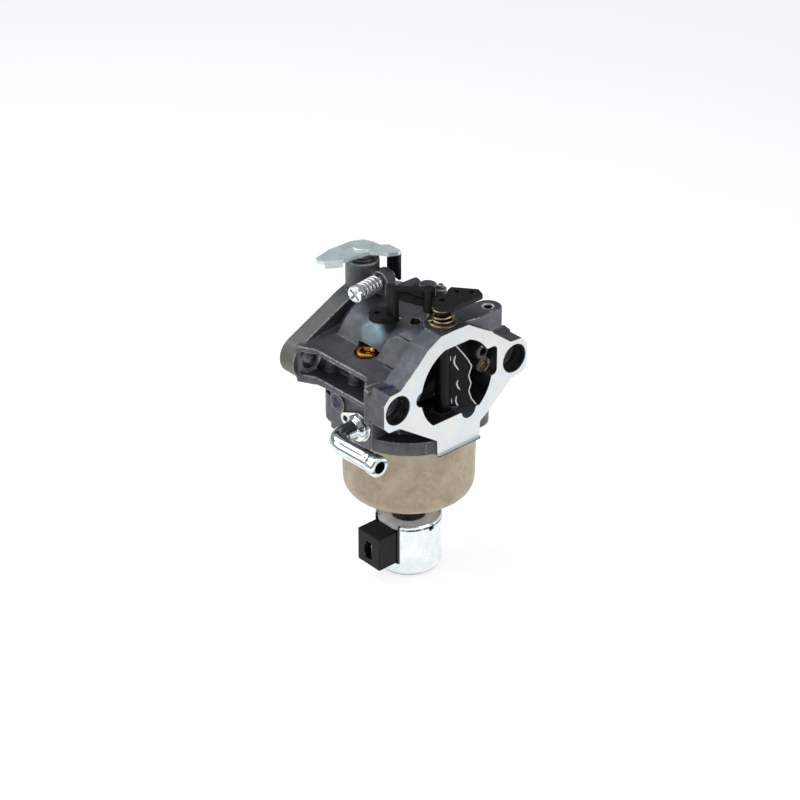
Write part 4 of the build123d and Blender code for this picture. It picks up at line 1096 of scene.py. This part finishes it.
def solenoid():
    """The solenoid: a dark turned neck, a bright plated can, its cap and its connector; its coil is finished further
    down.
    """
    top = bowl_low.z - 0.8
    neck = [(2.45, -85), (4.2, -85), (4.2, -71), (7.0, -71), (7.0, -67.3, 0.3), (6.7, -67.0, 0.3), (6.7, -66.2, 0.3),
            (7.2, -65.9, 0.3), (7.2, top - 0.5, 0.4), (6.6, top), (5.0, top), (5.0, -51), (2.45, -51)]
    turned("solenoid_neck", "neck_turned", "carburetor", DARK_STEEL, "dark_steel", neck, (CAN_X, CAN_Y), 0, 4, angle=35)

    low, high = can_low.z, can_high.z
    shell = [(0, low + 0.12), (5.5, low + 0.12, 1), (6.5, low, 1), (CAN_R, low, 3.6), (CAN_R, high - 0.45, 0.3),
             (CAN_R - 0.3, high), (CAN_R - 0.8, high, 0.2), (CAN_R - 1.0, high - 0.5, 0.3), (CAN_R - 1.0, low + 1, 2.8),
             (0, low + 1)]
    can = as_object("can_shell", lathe(bmesh.new(), rounded(shell, 0, 8), (CAN_X, CAN_Y, 0), UP, 160), [CAN_ZINC])
    window = bmesh.new()
    sill = corners("connector_housing")[0].z - 0.1
    box(window, (-25, CAN_Y - WINDOW_HALF, sill), (-8, CAN_Y + WINDOW_HALF, high + 8))
    cut(can, window, CAN_ZINC)
    notch = rounded([(-0.75, 2.0), (0.75, 2.0), (0.75, -0.9), (1.45, -1.7, 0.9), (1.1, -3.6, 1.1), (-1.1, -3.6, 1.1),
                     (-1.45, -1.7, 0.9), (-0.75, -0.9)], 0)
    cut(can, prism(bmesh.new(), notch, basis((0.2, CAN_Y - 9, high), TO_INLET, (1, 0, 0)), 9), CAN_ZINC)
    ease(can, 0.12, 2, 50)
    place(can, "carburetor", ["solenoid_can"], "zinc_plate")

    eased_copy("connector_housing", "connector_shell", "carburetor", CONNECTOR, "connector_plastic", 0.22)
    eased_copy("connector_blade", "connector_terminal", "carburetor", CHROME, "bright_zinc", 0.1, 2)
    eased_copy("solenoid_cap", "can_cap", "carburetor", CAP_ZINC, "zinc_plate", 0.15, 2)


casting()
bowl()
fuel_tube()
eased_copy("tube_clip", "clip_pressed", "carburetor", TUBE_ZINC, "bright_zinc", 0.25)
idle_jet()
air_jets()
throttle()
idle_screw()
idle_spring()
choke()
relay()
solenoid()

for node, material in (("bowl_gasket", RUBBER), ("float", FLOAT), ("float_hinge_pin", STEEL),
                       ("needle_seat", BRASS), ("inlet_needle", STEEL), ("main_nozzle", BRASS),
                       ("main_jet", BRASS), ("ball_plug", CHROME), ("passage_pin", STEEL),
                       ("relay_pivot_pin", STEEL), ("bowl_washer", FIBRE), ("solenoid_plunger", STEEL),
                       ("plunger_spring", STEEL), ("coil_bobbin", CONNECTOR), ("coil_winding", WIRE)):
    finish_node(node, material)


# ---- floor, lights and camera
FLOOR_GLOW = 0.70


def floor():
    """A plain pale floor under the can."""
    m = Finish("floor_paper", (0.56, 0.56, 0.56), roughness=0.9)
    m.set(m.shader, "Specular IOR Level", 0.0)
    m.set(m.shader, "Emission Color", (1.0, 1.0, 1.0, 1.0))
    m.set(m.shader, "Emission Strength", FLOOR_GLOW)
    m.colour(m.mix(m.noise(60, 3), (0.55, 0.55, 0.55), (0.58, 0.58, 0.58)))
    bm = bmesh.new()
    box(bm, (-1500, -1500, can_low.z - 2.0), (1500, 1500, can_low.z - 0.02))
    piece = as_object("floor", bm, [m.material])


def softbox(name, place_mm, target_mm, size, power, tint=(1, 1, 1)):
    """A square area light, aimed at a point."""
    lamp = bpy.data.lights.new(name, "AREA")
    lamp.shape = "SQUARE"
    lamp.size = size * MM
    lamp.energy = power
    lamp.color = tint
    holder = bpy.data.objects.new(name, lamp)
    holder.location = Vector(place_mm) * MM
    way = Vector(target_mm) - Vector(place_mm)
    holder.rotation_euler = way.to_track_quat("-Z", "Y").to_euler()
    bpy.context.scene.collection.objects.link(holder)


AZIMUTH, ELEVATION = radians(-41.5), radians(30.5)
RIGHT = Vector((cos(AZIMUTH), sin(AZIMUTH), 0))
BACK = Vector((sin(AZIMUTH) * cos(ELEVATION), -cos(AZIMUTH) * cos(ELEVATION), sin(ELEVATION)))
ABOVE = BACK.cross(RIGHT)
AIM = Vector((0, BOWL_Y, 0)) - RIGHT * 3.48 - ABOVE * 16.5


def camera():
    """A long lens, a metre away, at the product's three-quarter view."""
    lens = bpy.data.cameras.new("camera")
    lens.sensor_width = 36
    lens.lens = 116.3
    lens.clip_start = 0.05
    lens.clip_end = 20
    holder = bpy.data.objects.new("camera", lens)
    turn = Matrix((RIGHT, ABOVE, BACK)).transposed().to_4x4()
    holder.matrix_world = Matrix.Translation((AIM + BACK * 1000) * MM) @ turn
    bpy.context.scene.collection.objects.link(holder)
    bpy.context.scene.camera = holder


def studio():
    """A pale room with four soft boxes: above, at the right front, at the left, and a bluish one behind."""
    world = bpy.data.worlds.new("studio")
    world.use_nodes = True
    world.node_tree.nodes["Background"].inputs["Color"].default_value = (0.90, 0.95, 1.0, 1)
    world.node_tree.nodes["Background"].inputs["Strength"].default_value = 0.30
    bpy.context.scene.world = world
    centre = (0, BOWL_Y, -20)
    above = Vector(centre) + Vector((0, 0, 700))
    softbox("top_box", above - RIGHT * 150, centre, 600, 2.0)
    softbox("front_box", Vector(centre) + RIGHT * 520 + BACK * 420 + Vector((0, 0, 60)), centre, 420, 1.3)
    softbox("left_box", Vector(centre) - RIGHT * 560 + BACK * 120 + Vector((0, 0, 200)), centre, 360, 0.7)
    softbox("sky_box", Vector(centre) + Vector((-0.33, 0.645, 0.69)) * 640, centre, 230, 0.8, (0.72, 0.88, 1.0))
    bpy.context.scene.view_settings.view_transform = "Standard"


floor()
studio()
camera()
